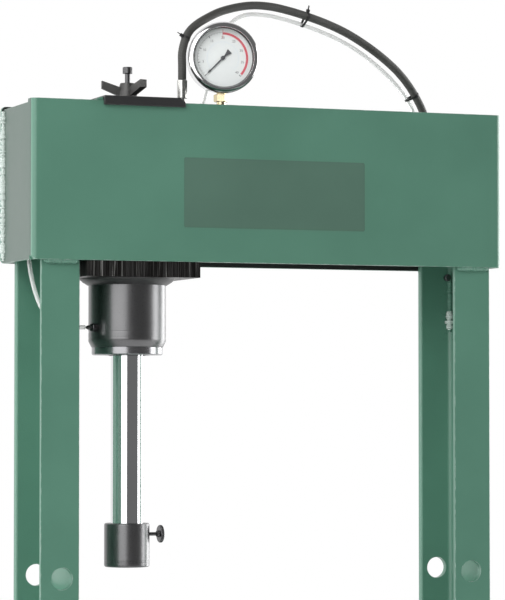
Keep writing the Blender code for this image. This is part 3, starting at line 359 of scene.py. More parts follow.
# %% Hose cover, clear tube and lens
def hose_cover():
    made, tree, shader = finish("hose_cover", (0.056, 0.056, 0.052), 0.6)
    along = node(tree, "ShaderNodeUVMap", {"uv_map": "along"}).outputs[0]
    wrap = node(tree, "ShaderNodeTexWave", {"wave_type": "BANDS", "bands_direction": "DIAGONAL"},
                {"Vector": along, "Scale": 1.0, "Distortion": 0.6, "Detail": 1.0}).outputs["Fac"]
    cover = use_group(tree, mottle, Patch_Size=20.0, Speck_Size=1500.0)
    tone = blend_colour(tree, cover.outputs[0], (0.044, 0.044, 0.041), (0.070, 0.070, 0.066))
    tree.links.new(tone, shader.inputs["Base Color"])
    tree.links.new(spread(tree, wrap, 0.0, 1.0, 0.52, 0.68), shader.inputs["Roughness"])
    bump(tree, shader, maths(tree, "ADD", wrap, cover.outputs[1]), 0.00006)
    return made


def clear_pvc():
    made, tree, shader = finish("clear_pvc", (0.93, 0.94, 0.93), 0.22, Transmission_Weight=0.55,
                                IOR=1.5, Coat_Weight=0.2)
    cover = use_group(tree, mottle, Patch_Size=30.0, Speck_Size=700.0)
    tree.links.new(blend_colour(tree, cover.outputs[0], (0.92, 0.93, 0.92), (0.96, 0.965, 0.96)),
                   shader.inputs["Base Color"])
    bump(tree, shader, cover.outputs[1], 0.00002)
    return made


def lens_glass():
    made, tree, shader = finish("lens_glass", (0.97, 0.985, 0.98), 0.01, Transmission_Weight=1.0, IOR=1.45)
    cover = use_group(tree, mottle, Patch_Size=12.0, Speck_Size=900.0)
    bump(tree, shader, cover.outputs[0], 0.000005)
    open_side = node(tree, "ShaderNodeBsdfTransparent")
    rays = node(tree, "ShaderNodeLightPath").outputs["Is Shadow Ray"]
    mix = node(tree, "ShaderNodeMixShader", {}, {0: rays, 1: shader.outputs[0], 2: open_side.outputs[0]})
    tree.links.new(mix.outputs[0], tree.nodes["Material Output"].inputs[0])
    return made


HOSE_COVER = hose_cover()
CLEAR_PVC = clear_pvc()
LENS = lens_glass()
print("finishes for the hose, the tube and the lens are ready")

# %% [markdown]
# ## Ways to make a piece
# Most of a press is sawn, bent or turned on a lathe, so a few ways of making cover it. A finished piece
# is a bmesh that becomes a mesh, gets one finish and rides on one body of the machine.

# %% From bmesh to a piece
def add_piece(name, shape, material, body, stands_for=(), angle=32, even=True):
    mesh = bpy.data.meshes.new(name)
    shape.to_mesh(mesh)
    shape.free()
    mesh.materials.append(material)
    mesh.shade_smooth()
    mesh.set_sharp_from_angle(angle=math.radians(angle))
    piece = bpy.data.objects.new(name, mesh)
    bpy.context.scene.collection.objects.link(piece)
    if even:
        normals = piece.modifiers.new("even_normals", "WEIGHTED_NORMAL")
        normals.keep_sharp = True
    if body:
        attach(piece, body)
    if stands_for:
        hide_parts(*stands_for)
    return piece


def round_edges(shape, width, segments=2, angle=30, only=None):
    """Rounds the edges that turn by more than the angle."""
    turning = [e for e in shape.edges if e.is_manifold and e.calc_face_angle(0.0) > math.radians(angle)
               and (only is None or only(e))]
    ends = list({v for e in turning for v in e.verts})
    if turning:
        bmesh.ops.bevel(shape, geom=turning + ends, offset=width, offset_type="OFFSET", segments=segments,
                        profile=0.5, affect="EDGES", clamp_overlap=True, material=-1)


def move_to(shape, place, axis=(0, 0, 1)):
    """Turns what was made along +Z to lie along axis, and puts it in its place."""
    turn = Vector((0, 0, 1)).rotation_difference(Vector(axis)).to_matrix().to_4x4()
    bmesh.ops.transform(shape, matrix=Matrix.Translation(place) @ turn, verts=shape.verts)


def points_of(parts):
    """Picks the points out of what an extrusion gives back."""
    return [part for part in parts if isinstance(part, bmesh.types.BMVert)]


print("helpers:", "add_piece, round_edges, move_to, points_of")

# %% [markdown]
# A copy of a CAD piece starts as loose triangles. Its points are merged, flat faces are joined again,
# and then the real edges can be rounded, because no cut or rolled edge of steel is perfectly sharp.

# %% A CAD piece with rounded edges
def edged(node_name, material, width, segments=2, angle=30):
    shape = bmesh.new()
    shape.from_mesh(nodes[node_name].data)
    bmesh.ops.remove_doubles(shape, verts=shape.verts, dist=0.000003)
    bmesh.ops.dissolve_limit(shape, angle_limit=math.radians(1.5), verts=shape.verts, edges=shape.edges)
    round_edges(shape, width, segments, angle)
    return add_piece(node_name + "_finished", shape, material, body_of(node_name), [node_name])


print("helpers:", "edged")

# %% [markdown]
# A turned piece is a profile of (radius, height) points spun round its axis, as on a lathe.

# %% A turned piece
def lathe(profile, ring=False, steps=96):
    shape = bmesh.new()
    points = [shape.verts.new((radius, 0.0, height)) for radius, height in profile]
    sides = [shape.edges.new(pair) for pair in zip(points, points[1:])]
    if ring:
        sides.append(shape.edges.new((points[-1], points[0])))
    bmesh.ops.spin(shape, geom=points + sides, cent=(0, 0, 0), axis=(0, 0, 1), angle=math.tau, steps=steps,
                   use_merge=True)
    bmesh.ops.remove_doubles(shape, verts=shape.verts, dist=0.000001)
    bmesh.ops.recalc_face_normals(shape, faces=shape.faces)
    return shape


def turned(name, profile, material, body, place, axis=(0, 0, 1), stands_for=(), width=0.0006, ring=False,
           steps=96, change=None):
    """change may alter the shape while its axis is still +Z and its foot is at the origin."""
    shape = lathe(profile, ring, steps)
    if width:
        round_edges(shape, width, 2, 32)
    if change:
        change(shape)
    move_to(shape, place, axis)
    return add_piece(name, shape, material, body, stands_for)


print("helpers:", "lathe, turned")

# %% [markdown]
# Knobs, pins and screws have grooves pressed into their rims, so that a hand can hold them.

# %% Grooves round a rim
def groove(shape, count, depth, beyond, low=-1.0, high=1.0, power=1):
    """Draws in the wall that lies beyond a radius and between two heights. depth is a share of the radius."""
    for vert in shape.verts:
        if vert.co.xy.length > beyond and low < vert.co.z < high:
            turn = math.atan2(vert.co.y, vert.co.x)
            vert.co.xy = vert.co.xy * (1 - depth * (0.5 - 0.5 * math.cos(turn * count)) ** power)


print("helpers:", "groove")

# %% [markdown]
# A box is a cube scaled to size. Holes are cut by a cutter object with a Boolean, which is applied at
# once, so the finished mesh has the hole in it.

# %% A box, a bar and a cut
def box_shape(size, place, turn=None):
    shape = bmesh.new()
    bmesh.ops.create_cube(shape, size=1.0)
    bmesh.ops.scale(shape, vec=size, verts=shape.verts)
    whole = Matrix.Translation(place) @ (turn or Matrix.Identity(4))
    bmesh.ops.transform(shape, matrix=whole, verts=shape.verts)
    return shape


def bar_shape(radius, length, place, axis, sides=48):
    shape = bmesh.new()
    bmesh.ops.create_cone(shape, cap_ends=True, segments=sides, radius1=radius, radius2=radius, depth=length)
    move_to(shape, place, axis)
    return shape


def cut(shape, cutter, operation="DIFFERENCE"):
    """Applies one Boolean and gives the result as a new bmesh."""
    objects = []
    for label, part in (("cut_target", shape), ("cut_tool", cutter)):
        mesh = bpy.data.meshes.new(label)
        part.to_mesh(mesh)
        part.free()
        objects.append(bpy.data.objects.new(label, mesh))
        bpy.context.scene.collection.objects.link(objects[-1])
    target, tool = objects
    step = target.modifiers.new("cut", "BOOLEAN")
    step.operation, step.solver, step.object = operation, "EXACT", tool
    result = bmesh.new()
    result.from_object(target, bpy.context.evaluated_depsgraph_get())
    for each in objects:
        mesh = each.data
        bpy.data.objects.remove(each)
        bpy.data.meshes.remove(mesh)
    bmesh.ops.remove_doubles(result, verts=result.verts, dist=0.000002)
    return result


def join(shape, *others):
    """Adds other bmeshes to one, as loose parts of it."""
    for other in others:
        mesh = bpy.data.meshes.new("joined")
        other.to_mesh(mesh)
        other.free()
        shape.from_mesh(mesh)
        bpy.data.meshes.remove(mesh)
    return shape


print("helpers:", "box_shape, bar_shape, cut, join")

# %% [markdown]
# Bolt heads and hose ends are hexagons whose corners are turned off at the ends. The hexagon is met with
# a turned crown, because that gives the curved edges which a plain bevel doesn't.

# %% Hexagons with chamfered corners
def hexagon(radius, height, middle_z, crown, steps):
    """A hexagon bar, with its corners cut by a lathed crown. radius is measured to the corners."""
    shape = bar_shape(radius, height, (0, 0, middle_z), (0, 0, 1), 6)
    return cut(shape, lathe(crown, False, steps), "INTERSECT")


print("helpers:", "hexagon")

# %% [markdown]
# Hoses, ties and weld beads all follow a line. A curve with a round bevel makes them, and each point's
# own radius gives a weld its ripples. The curve becomes a mesh before it gets its place on the press.

# %% A tube along points
def curve_to_shape(curve):
    """Makes a curve or text a mesh at once, and clears the curve away."""
    holder = bpy.data.objects.new("curve_holder", curve)
    bpy.context.scene.collection.objects.link(holder)
    mesh = bpy.data.meshes.new_from_object(holder.evaluated_get(bpy.context.evaluated_depsgraph_get()))
    shape = bmesh.new()
    shape.from_mesh(mesh)
    bpy.data.objects.remove(holder)
    bpy.data.curves.remove(curve)
    bpy.data.meshes.remove(mesh)
    return shape


def tube_shape(points, radius, sides=16, radii=None, closed=False):
    curve = bpy.data.curves.new("tube", "CURVE")
    curve.dimensions = "3D"
    curve.bevel_depth = radius
    curve.bevel_resolution = sides // 4 - 1
    curve.use_fill_caps = not closed
    spline = curve.splines.new("POLY")
    spline.points.add(len(points) - 1)
    spline.use_cyclic_u = closed
    for index, (point, spot) in enumerate(zip(spline.points, points)):
        point.co = (*spot, 1.0)
        point.radius = radii[index] if radii else 1.0
    shape = curve_to_shape(curve)
    bmesh.ops.remove_doubles(shape, verts=shape.verts, dist=0.000001)
    bmesh.ops.recalc_face_normals(shape, faces=shape.faces)
    return shape


def smooth_line(route, spacing):
    """Even points along a smooth curve through the route (centripetal Catmull-Rom)."""
    points = [Vector(p) for p in route]
    points = [2 * points[0] - points[1]] + points + [2 * points[-1] - points[-2]]
    fine = []
    for a, b, c, d in zip(points, points[1:], points[2:], points[3:]):
        t0 = 0.0
        t1 = t0 + (b - a).length ** 0.5
        t2 = t1 + (c - b).length ** 0.5
        t3 = t2 + (d - c).length ** 0.5
        for step in range(16):
            t = t1 + (t2 - t1) * step / 16
            ab = a.lerp(b, (t - t0) / (t1 - t0))
            bc = b.lerp(c, (t - t1) / (t2 - t1))
            cd = c.lerp(d, (t - t2) / (t3 - t2))
            abc = ab.lerp(bc, (t - t0) / (t2 - t0))
            bcd = bc.lerp(cd, (t - t1) / (t3 - t1))
            fine.append(abc.lerp(bcd, (t - t1) / (t2 - t1)))
    fine.append(points[-2])
    return even_points(fine, spacing)


def even_points(line, spacing):
    total = sum((q - p).length for p, q in zip(line, line[1:]))
    count = max(2, round(total / spacing))
    even, walked = [line[0]], 0.0
    for p, q in zip(line, line[1:]):
        length = (q - p).length
        while length and len(even) < count and walked + length >= total * len(even) / count:
            even.append(p.lerp(q, (total * len(even) / count - walked) / length))
        walked += length
    even.append(line[-1])
    return even


def length_of(points):
    return sum((Vector(q) - Vector(p)).length for p, q in zip(points, points[1:]))


print("helpers:", "curve_to_shape, tube_shape, smooth_line, even_points, length_of")

# %% [markdown]
# A weld bead is a row of overlapping drops of metal. Its ripples are about two and a half millimetres
# apart, and no two are quite the same.

# %% A weld bead
RIPPLE = 0.0026


def bead(name, points, radius, body, material=None, closed=False, rough=0.10):
    line = even_points([Vector(p) for p in points] + ([Vector(points[0])] if closed else []), RIPPLE / 4)
    if closed:
        line = line[:-1]
    random.seed(len(name) + round(radius * 100000))
    drops = [random.uniform(-rough, rough) for _ in range(len(line) // 4 + 3)]
    radii = []
    for index in range(len(line)):
        drop, part = divmod(index, 4)
        swell = (0.0, 0.75, 1.0, 0.6)[part]
        end = min(1.0, 0.55 + 0.45 * min(index, len(line) - 1 - index) / 8) if not closed else 1.0
        radii.append((0.90 + 0.11 * swell + drops[drop]) * end)
    shape = tube_shape([tuple(p) for p in line], radius, 12, radii, closed)
    for vert in shape.verts:
        vert.co += noise.noise_vector(vert.co * 180) * radius * 0.09
    return add_piece(name, shape, material or GREEN_WELD, body, angle=60, even=False)


def upright_bead(name, x, y, start, end, radius, body, **look):
    """A bead along Z, laid from the height start to the height end."""
    return bead(name, [(x, y, start), (x, y, end)], radius, body, **look)


print("helpers:", "bead, upright_bead")

# %% [markdown]
# ## The hose and the return tube
# The pressure hose leaves its ferrule straight up, arches over the gauge and comes down behind the
# right post to the pump. It is 12.8 mm thick, a quarter inch wire-braid hose, and it holds its arch by
# its own stiffness. On the real press the hose follows the head as it slides along the beam; here it is
# one piece laid in the world and rides on no body.

# %% Routes, measured from the middle of the beam's underside
SHIFT = Vector(((beam_low.x + beam_high.x) / 2, 0.0, BEAM_UNDER))
HOSE_ROUTE = [
    (-0.1204, 0.000, 0.2843), (-0.1204, 0.000, 0.304), (-0.1195, 0.001, 0.330), (-0.106, 0.006, 0.361),
    (-0.064, 0.018, 0.389), (-0.033, 0.026, 0.401), (0.004, 0.033, 0.409), (0.038, 0.039, 0.410),
    (0.073, 0.046, 0.406), (0.108, 0.052, 0.399), (0.144, 0.059, 0.390), (0.180, 0.066, 0.378),
    (0.215, 0.073, 0.362), (0.252, 0.081, 0.341), (0.284, 0.089, 0.318), (0.313, 0.098, 0.288),
    (0.336, 0.106, 0.250), (0.347, 0.111, 0.190), (0.353, 0.112, 0.100), (0.362, 0.112, -0.050),
    (0.373, 0.111, -0.200), (0.385, 0.109, -0.330), (0.400, 0.104, -0.430), (0.424, 0.092, -0.520),
    (0.450, 0.075, -0.578), (0.4670, 0.0638, -0.6120), (0.4700, 0.0620, -0.6320), (0.4700, 0.0620, -0.6503),
]
TUBE_ROUTE = [
    (-0.2857, -0.0279, -0.099), (-0.300, -0.0300, -0.099), (-0.318, -0.0290, -0.098),
    (-0.334, -0.0180, -0.090), (-0.345, 0.0000, -0.070), (-0.353, 0.0140, -0.038),
    (-0.358, 0.0220, 0.000), (-0.359, 0.0240, 0.060), (-0.358, 0.0240, 0.140), (-0.354, 0.0280, 0.205),
    (-0.340, 0.0400, 0.2310), (-0.310, 0.0560, 0.2340), (-0.260, 0.0655, 0.2290), (-0.200, 0.0660, 0.2200),
    (-0.140, 0.0640, 0.2130), (-0.100, 0.0560, 0.2180), (-0.075, 0.0480, 0.2420), (-0.060, 0.0450, 0.290),
    (-0.048, 0.0450, 0.340), (-0.032, 0.0440, 0.374), (-0.004, 0.0430, 0.394), (0.036, 0.0480, 0.397),
    (0.070, 0.0550, 0.393), (0.105, 0.0610, 0.386), (0.141, 0.0680, 0.377), (0.177, 0.0750, 0.365),
    (0.212, 0.0820, 0.349), (0.247, 0.0900, 0.328), (0.278, 0.0980, 0.305), (0.306, 0.1070, 0.277),
    (0.326, 0.1150, 0.242), (0.336, 0.1215, 0.185), (0.342, 0.1235, 0.100), (0.351, 0.1235, -0.050),
    (0.361, 0.1225, -0.200), (0.373, 0.1205, -0.330), (0.387, 0.1150, -0.440), (0.402, 0.0980, -0.540),
    (0.415, 0.0700, -0.620), (0.4206, 0.0480, -0.668), (0.4206, 0.0450, -0.690), (0.4206, 0.0450, -0.7184),
]
hose_line = [p + SHIFT for p in smooth_line(HOSE_ROUTE, 0.006)]
tube_line = [p + SHIFT for p in smooth_line(TUBE_ROUTE, 0.006)]
print("hose", round(length_of(hose_line), 3), "m, return tube", round(length_of(tube_line), 3), "m")

# %% [markdown]
# The hose's pattern runs along it, so the tube gets a UV map whose one direction is the distance along
# the line and whose other is the way round it.

# %% A tube with a UV map along it
def along_uv(piece, line, wraps):
    """U is the distance along the line in wraps, V is the turn round it."""
    layer = piece.data.uv_layers.new(name="along")
    starts = [0.0]
    for p, q in zip(line, line[1:]):
        starts.append(starts[-1] + (q - p).length)
    nearest = {}
    for vert in piece.data.vertices:
        best = min(range(len(line)), key=lambda i: (line[i] - vert.co).length_squared)
        way = (line[min(best + 1, len(line) - 1)] - line[max(best - 1, 0)]).normalized()
        side = way.cross(Vector((0.31, 0.95, 0.07))).normalized()
        off = vert.co - line[best]
        turn = math.atan2(off.dot(way.cross(side)), off.dot(side)) / math.tau
        nearest[vert.index] = (starts[best] * wraps, turn % 1.0)
    for loop in piece.data.loops:
        layer.data[loop.index].uv = nearest[loop.vertex_index]


def cord_piece(name, line, diameter, material, sides=24):
    shape = tube_shape([tuple(p) for p in line], diameter / 2, sides)
    return add_piece(name, shape, material, None, angle=60, even=False)


HOSE_D = 0.0128
TUBE_D = 0.0065
hose = cord_piece("pressure_hose", hose_line, HOSE_D, HOSE_COVER)
along_uv(hose, hose_line, 160.0)
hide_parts("hydraulic_hose")
print("cord pieces are ready")

# %% [markdown]
# The return tube is pushed onto a barb on the cylinder, goes through the left post, along the inside of
# the beam, and then beside the hose to the tank. When the head slides, its barb end and its hose end
# both move. It is made as three lengths, from the barb up through the post, along the inside of the
# beam, and on beside the hose; all three are laid in the world and ride on no body.

# %% The return tube in three lengths
def nearest_index(line, place):
    return min(range(len(line)), key=lambda i: (line[i] - Vector(place)).length_squared)


IN_POST = nearest_index(tube_line, SHIFT + Vector((-0.359, 0.024, 0.060)))
OVER_BEAM = nearest_index(tube_line, SHIFT + Vector((-0.075, 0.048, 0.242)))
from_barb = tube_line[:IN_POST + 1]
in_beam = tube_line[IN_POST:OVER_BEAM + 1]
beside_hose = tube_line[OVER_BEAM:]
tube_from_barb = cord_piece("return_tube_from_barb", from_barb, TUBE_D, CLEAR_PVC, 16)
tube_in_beam = cord_piece("return_tube_in_beam", in_beam, TUBE_D, CLEAR_PVC, 16)
tube_to_tank = cord_piece("return_tube_to_tank", beside_hose, TUBE_D, CLEAR_PVC, 16)
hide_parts("return_tube")
print("lengths", [round(length_of(part), 3) for part in (from_barb, in_beam, beside_hose)])

# %% [markdown]
# Nylon ties hold the tube to the hose. A tie is a flat strap round both, with a square head and a
# clipped tail that sticks out.

# %% Cable ties
def cable_tie(name, at, tail):
    """A strap round the hose, and round the tube where it is near, at a share of the hose's length."""
    index = round(at * (len(hose_line) - 1))
    centre = hose_line[index]
    way = (hose_line[min(index + 1, len(hose_line) - 1)] - hose_line[max(index - 1, 0)]).normalized()
    beside = tube_line[nearest_index(tube_line, centre)]
    across = beside - centre
    across -= way * across.dot(way)
    near = across.length < 0.022
    side = across.normalized() if near else way.cross(Vector((0, 1, 0))).normalized()
    up = way.cross(side).normalized()
    hose_r, tube_r = HOSE_D / 2 + 0.0006, TUBE_D / 2 + 0.0006
    loop = []
    if near:
        gap = across.length
        lean = math.acos(max(-1.0, min(1.0, (hose_r - tube_r) / gap)))
        for step in range(19):
            turn = lean + (math.tau - 2 * lean) * step / 18
            loop.append(centre + (side * math.cos(turn) + up * math.sin(turn)) * hose_r)
        for step in range(11):
            turn = -lean + 2 * lean * step / 10
            loop.append(centre + across + (side * math.cos(turn) + up * math.sin(turn)) * tube_r)
    else:
        for step in range(28):
            turn = math.tau * step / 28
            loop.append(centre + (side * math.cos(turn) + up * math.sin(turn)) * hose_r)
    shape = bmesh.new()
    ring = [shape.verts.new(p - way * 0.0018) for p in loop]
    band = [shape.edges.new((a, b)) for a, b in zip(ring, ring[1:] + ring[:1])]
    pulled = bmesh.ops.extrude_edge_only(shape, edges=band)["geom"]
    bmesh.ops.translate(shape, vec=way * 0.0036, verts=points_of(pulled))
    bmesh.ops.recalc_face_normals(shape, faces=shape.faces)
    bmesh.ops.solidify(shape, geom=shape.faces[:], thickness=0.0009)
    bmesh.ops.recalc_face_normals(shape, faces=shape.faces)
    out = Vector(tail).normalized()
    turn = Vector((0, 0, 1)).rotation_difference(out).to_matrix().to_4x4()
    head_place = centre + out * (hose_r + 0.0022)
    head = box_shape((0.0052, 0.0046, 0.0044), head_place, turn)
    round_edges(head, 0.0005)
    strap = box_shape((0.0011, 0.0034, 0.0085), centre + out * (hose_r + 0.0062), turn)
    tie = add_piece(name, join(shape, head, strap), NYLON, None, even=False)
    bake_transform(tie)


cable_tie("cable_tie_by_gauge", 0.045, (-0.9, -0.3, 0.5))
cable_tie("cable_tie_over_beam", 0.205, (0.1, -0.3, 1.0))
cable_tie("cable_tie_right", 0.365, (-0.5, -0.5, 0.6))
cable_tie("cable_tie_behind_post", 0.62, (0.3, 0.6, 0.2))
cable_tie("cable_tie_low", 0.82, (0.5, -0.5, 0.2))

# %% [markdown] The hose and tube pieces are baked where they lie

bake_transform(hose)
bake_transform(tube_to_tank)
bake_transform(tube_from_barb)
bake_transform(tube_in_beam)

# %% [markdown]
# ## The frame
# The posts are rolled channels. Their outlines have a round root inside and a small round toe on each
# flange. They are drawn as one face, extruded to their length, and drilled for the pins.

# %% A channel's outline
def arc_points(cx, cy, radius, start, end, steps=8):
    turns = [math.radians(start + (end - start) * i / steps) for i in range(steps + 1)]
    return [(cx + radius * math.cos(a), cy + radius * math.sin(a)) for a in turns]


def channel_shape(depth, width, web, flange, root, toe, length):
    """Open towards -X, web at +X, along +Z from 0 to its length."""
    right, left, top = width / 2, -width / 2, depth / 2
    inside, back = top - flange, right - web
    upper = arc_points(right - 0.0015, top - 0.0015, 0.0015, 0, 90, 3)
    upper += arc_points(left + 0.0008, top - 0.0008, 0.0008, 90, 180, 2)
    upper += arc_points(left + toe, inside + toe, toe, 180, 270, 5)
    upper += arc_points(back - root, inside - root, root, 90, 0)
    outline = upper + [(x, -y) for x, y in reversed(upper)]
    shape = bmesh.new()
    face = shape.faces.new([shape.verts.new((x, y, 0.0)) for x, y in outline])
    shape.normal_update()
    if face.normal.z > 0:
        face.normal_flip()
    pulled = bmesh.ops.extrude_face_region(shape, geom=[face])["geom"]
    bmesh.ops.translate(shape, vec=(0, 0, length), verts=points_of(pulled))
    bmesh.ops.recalc_face_normals(shape, faces=shape.faces)
    return shape


print("helpers:", "arc_points, channel_shape")

# %% [markdown]
# Seven bars in a row are taken out of each post for the pin holes. The rounded rim of each hole catches
# the light, as a drilled and painted hole does.

# %% The two posts with their pin holes
POST_WEB, POST_FLANGE = 0.007, 0.010
PIN_HOLE_R = 0.0165
HOLE_PITCH = 0.120
FIRST_HOLE = BEAM_UNDER - 0.474
PIN_FROM_EDGE = 0.033


def post(node_name, hole_x):
    low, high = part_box(node_name)
    size = high - low
    shape = channel_shape(size.y, size.x, POST_WEB, POST_FLANGE, 0.008, 0.004, size.z)
    move_to(shape, ((low.x + high.x) / 2, 0, low.z))
    for index in range(7):
        drill = bar_shape(PIN_HOLE_R, 0.2, (hole_x, 0, FIRST_HOLE - HOLE_PITCH * index), (0, 1, 0), 56)
        shape = cut(shape, drill)
    return shape


left_low, left_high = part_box("left_post")
right_low, right_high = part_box("right_post")
left = post("left_post", left_low.x + PIN_FROM_EDGE)
tube_hole = bar_shape(0.0065, 0.03, (left_high.x - POST_WEB / 2, -0.0295, tube_line[0].z), (1, 0, 0), 32)
left = cut(left, tube_hole)
right = post("right_post", right_high.x - PIN_FROM_EDGE)
for name, shape in (("left_post", left), ("right_post", right)):
    round_edges(shape, 0.0007, 2, 50)
    piece = add_piece(name + "_channel", shape, GREEN, "frame", [name], 30)
    print(name, len(piece.data.vertices), "points")

# %% [markdown]
# The beam is a front plate with bent ends and a plain rear plate. Only their sheared edges need
# rounding, so copies of the CAD pieces are enough. The feet and the cross tie are the same kind of work.
# The rear plate's inner side and the front plate's left end get darker colours as painted shade.

# %% Beam, feet and cross tie
# Faces that look one way get a second colour: near-black painted shade inside the beam, and a darker, greyer
# painted shade on the left end.
PAINTED_SHADE_FACES = {"beam_rear_plate": (INSIDE_PAINTED_SHADE, (0, -1, 0)), "beam_front_plate": (GREEN_END_SHADED, (-1, 0, 0))}
for name, width in (("beam_front_plate", 0.0009), ("beam_rear_plate", 0.0009), ("head_stop", 0.0006),
                    ("left_foot", 0.0009), ("right_foot", 0.0009), ("cross_tie", 0.001)):
    made = edged(name, GREEN, width)
    if name in PAINTED_SHADE_FACES:
        coat, facing = PAINTED_SHADE_FACES[name]
        made.data.materials.append(coat)
        for face in made.data.polygons:
            if face.normal.dot(Vector(facing)) > 0.9:
                face.material_index = 1

# %% [markdown]
# ## The frame's welds
# Each joint of the frame has a painted bead. The heavy ones under the front plate carry the pressing
# force into the posts, and the long ones close the beam's ends against the rear plate.

# %% Beads under and behind the beam
FRONT = beam_low.y
POST_FRONT = left_low.y
under = BEAM_UNDER - 0.0010
for word, low, high in (("left", left_low, left_high), ("right", right_low, right_high)):
    start, end = low.x + 0.003, high.x - 0.003
    for name, y, radius, rough in ((f"weld_beam_to_{word}_post", POST_FRONT - 0.0026, 0.0052, 0.03),
                                   (f"weld_rear_plate_to_{word}_post", -POST_FRONT + 0.0038, 0.0060, 0.05)):
        bead(name, [(start, y, under), (end, y, under)], radius, "frame", rough=rough)
rear_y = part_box("beam_rear_plate")[0].y
# The end beads are coloured pale as a painted highlight.
for word, x in (("left", beam_low.x - 0.0008), ("right", beam_high.x + 0.0008)):
    upright_bead(f"weld_beam_end_{word}", x, rear_y - 0.0040, BEAM_UNDER + 0.003, beam_high.z - 0.008,
                 0.0052, "frame", material=WELD_PAINTED_HIGHLIGHT, rough=0.45)

# %% [markdown]
# Inside the posts, upright beads run down from the beam where the web meets the flange. The small round
# piece near the right one's top is the end of a bolt.

# %% Inner beads of the posts
inner_x = right_high.x - POST_WEB
inner_left = left_high.x - POST_WEB
inner_y = -POST_FRONT - POST_FLANGE
upright_bead("weld_inside_right_post", inner_x - 0.0032, inner_y - 0.0032, BEAM_UNDER - 0.002,
             BEAM_UNDER - 0.097, 0.0042, "frame", rough=0.2)
# This lower bead is coloured pale as a painted highlight.
upright_bead("weld_end_right_post", inner_x - 0.0046, inner_y - 0.0046, BEAM_UNDER - 0.064,
             BEAM_UNDER - 0.094, 0.0062, "frame", material=WELD_PAINTED_HIGHLIGHT, rough=0.35)
bolt_end = lathe([(0, 0.0075), (0.0044, 0.0075), (0.0056, 0.0062), (0.0056, 0), (0, 0)], False, 40)
move_to(bolt_end, (inner_x - 0.0072, inner_y, BEAM_UNDER - 0.0105), (0, -1, 0))
add_piece("tack_bolt_end", bolt_end, BLACK_OXIDE, "frame")
upright_bead("weld_inside_left_post", inner_left - 0.0032, inner_y - 0.0032, BEAM_UNDER - 0.002,
             BEAM_UNDER - 0.090, 0.0040, "frame", rough=0.2)


# %% [markdown]
# Welding throws off small drops that stick beside the bead. They lie thickest near it, so their distance
# is drawn from a bell curve, and the seed keeps them in the same places each time.

# %% Spatter beside the right post's bead
def spatter(name, spots, body):
    """Small drops of weld metal that stuck to the plate before it was painted."""
    shape = bmesh.new()
    for place, size in spots:
        drop = bmesh.ops.create_icosphere(shape, subdivisions=2, radius=size)["verts"]
        bmesh.ops.scale(shape, vec=(1, 1, 1.15), verts=drop)
        bmesh.ops.translate(shape, vec=place, verts=drop)
    return add_piece(name, shape, GREEN_WELD, body, angle=80, even=False)


random.seed(11)
spots = []
for _ in range(46):
    along = random.uniform(0.004, 0.112)
    out = abs(random.gauss(0, 0.009)) + 0.004
    spots.append(((inner_x - 0.0002, inner_y - out, BEAM_UNDER - along), random.uniform(0.0004, 0.0011)))
for _ in range(26):
    along = random.uniform(0.004, 0.110)
    out = abs(random.gauss(0, 0.008)) + 0.004
    spots.append(((inner_x - out, inner_y - 0.0002, BEAM_UNDER - along), random.uniform(0.0004, 0.0010)))
spatter("spatter_right_post", spots, "frame")

# %% [markdown]
# Each post stands on a foot, braced by a gusset in front and one behind. A gusset has beads on
# both of its sides, along the post and along the foot.

# %% Feet, gussets and cross tie
for word, low, high in (("left", left_low, left_high), ("right", right_low, right_high)):
    foot_low, foot_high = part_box(f"{word}_foot")
    plate = foot_low.z + 0.010
    mid = (low.x + high.x) / 2
    for side, sign in (("front", -1), ("rear", 1)):
        y = sign * (-POST_FRONT + 0.0012)
        for hand, step in (("a", -1), ("b", 1)):
            x, rib = mid + step * 0.0048, plate + 0.001
            upright_bead(f"weld_{word}_{side}_gusset_{hand}", x, y, plate + 0.004, plate + 0.106, 0.0030,
                         "frame")
            bead(f"weld_{word}_{side}_rib_{hand}", [(x, y + sign * 0.004, rib), (x, y + sign * 0.112, rib)],
                 0.0030, "frame")
    x, top = high.x + 0.0012, foot_high.z + 0.0005
    bead(f"weld_{word}_foot", [(x, -0.062, top), (x, 0.062, top)], 0.0034, "frame")
tie_low, tie_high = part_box("cross_tie")
for word, x in (("left", left_high.x - 0.003), ("right", right_low.x + 0.003)):
    upright_bead(f"weld_tie_{word}", x, -POST_FRONT + 0.0010, tie_low.z + 0.004, tie_high.z - 0.004,
                 0.0028, "frame")

# %% [markdown]
# The maker's film on the beam is left bare. It is a thin clear-coated rectangle, a little greyer than
# the paint, and its edge just catches the light.

# %% Bare label film
middle_x = (beam_low.x + beam_high.x) / 2
film = box_shape((0.296, 0.00022, 0.106), (middle_x + 0.003, FRONT - 0.00014, BEAM_UNDER + 0.105))
round_edges(film, 0.0030, 4, 30, lambda e: abs((e.verts[0].co - e.verts[1].co).normalized().y) > 0.9)
add_piece("label_film_bare", film, FILM, "frame")

# %% [markdown]
# ## The pressing head
# The head plate was cut from thick plate with a flame, which leaves upright drag lines in its edge. Its
# sides are divided into narrow strips, and each strip is set in or out by a fraction of a millimetre.

# %% Head plate with drag lines
def slice_at(shape, place, normal):
    """Divides the faces along one plane, and leaves the shape's form as it is."""
    bmesh.ops.bisect_plane(shape, geom=shape.verts[:] + shape.edges[:] + shape.faces[:], dist=1e-6,
                           plane_co=place, plane_no=normal)


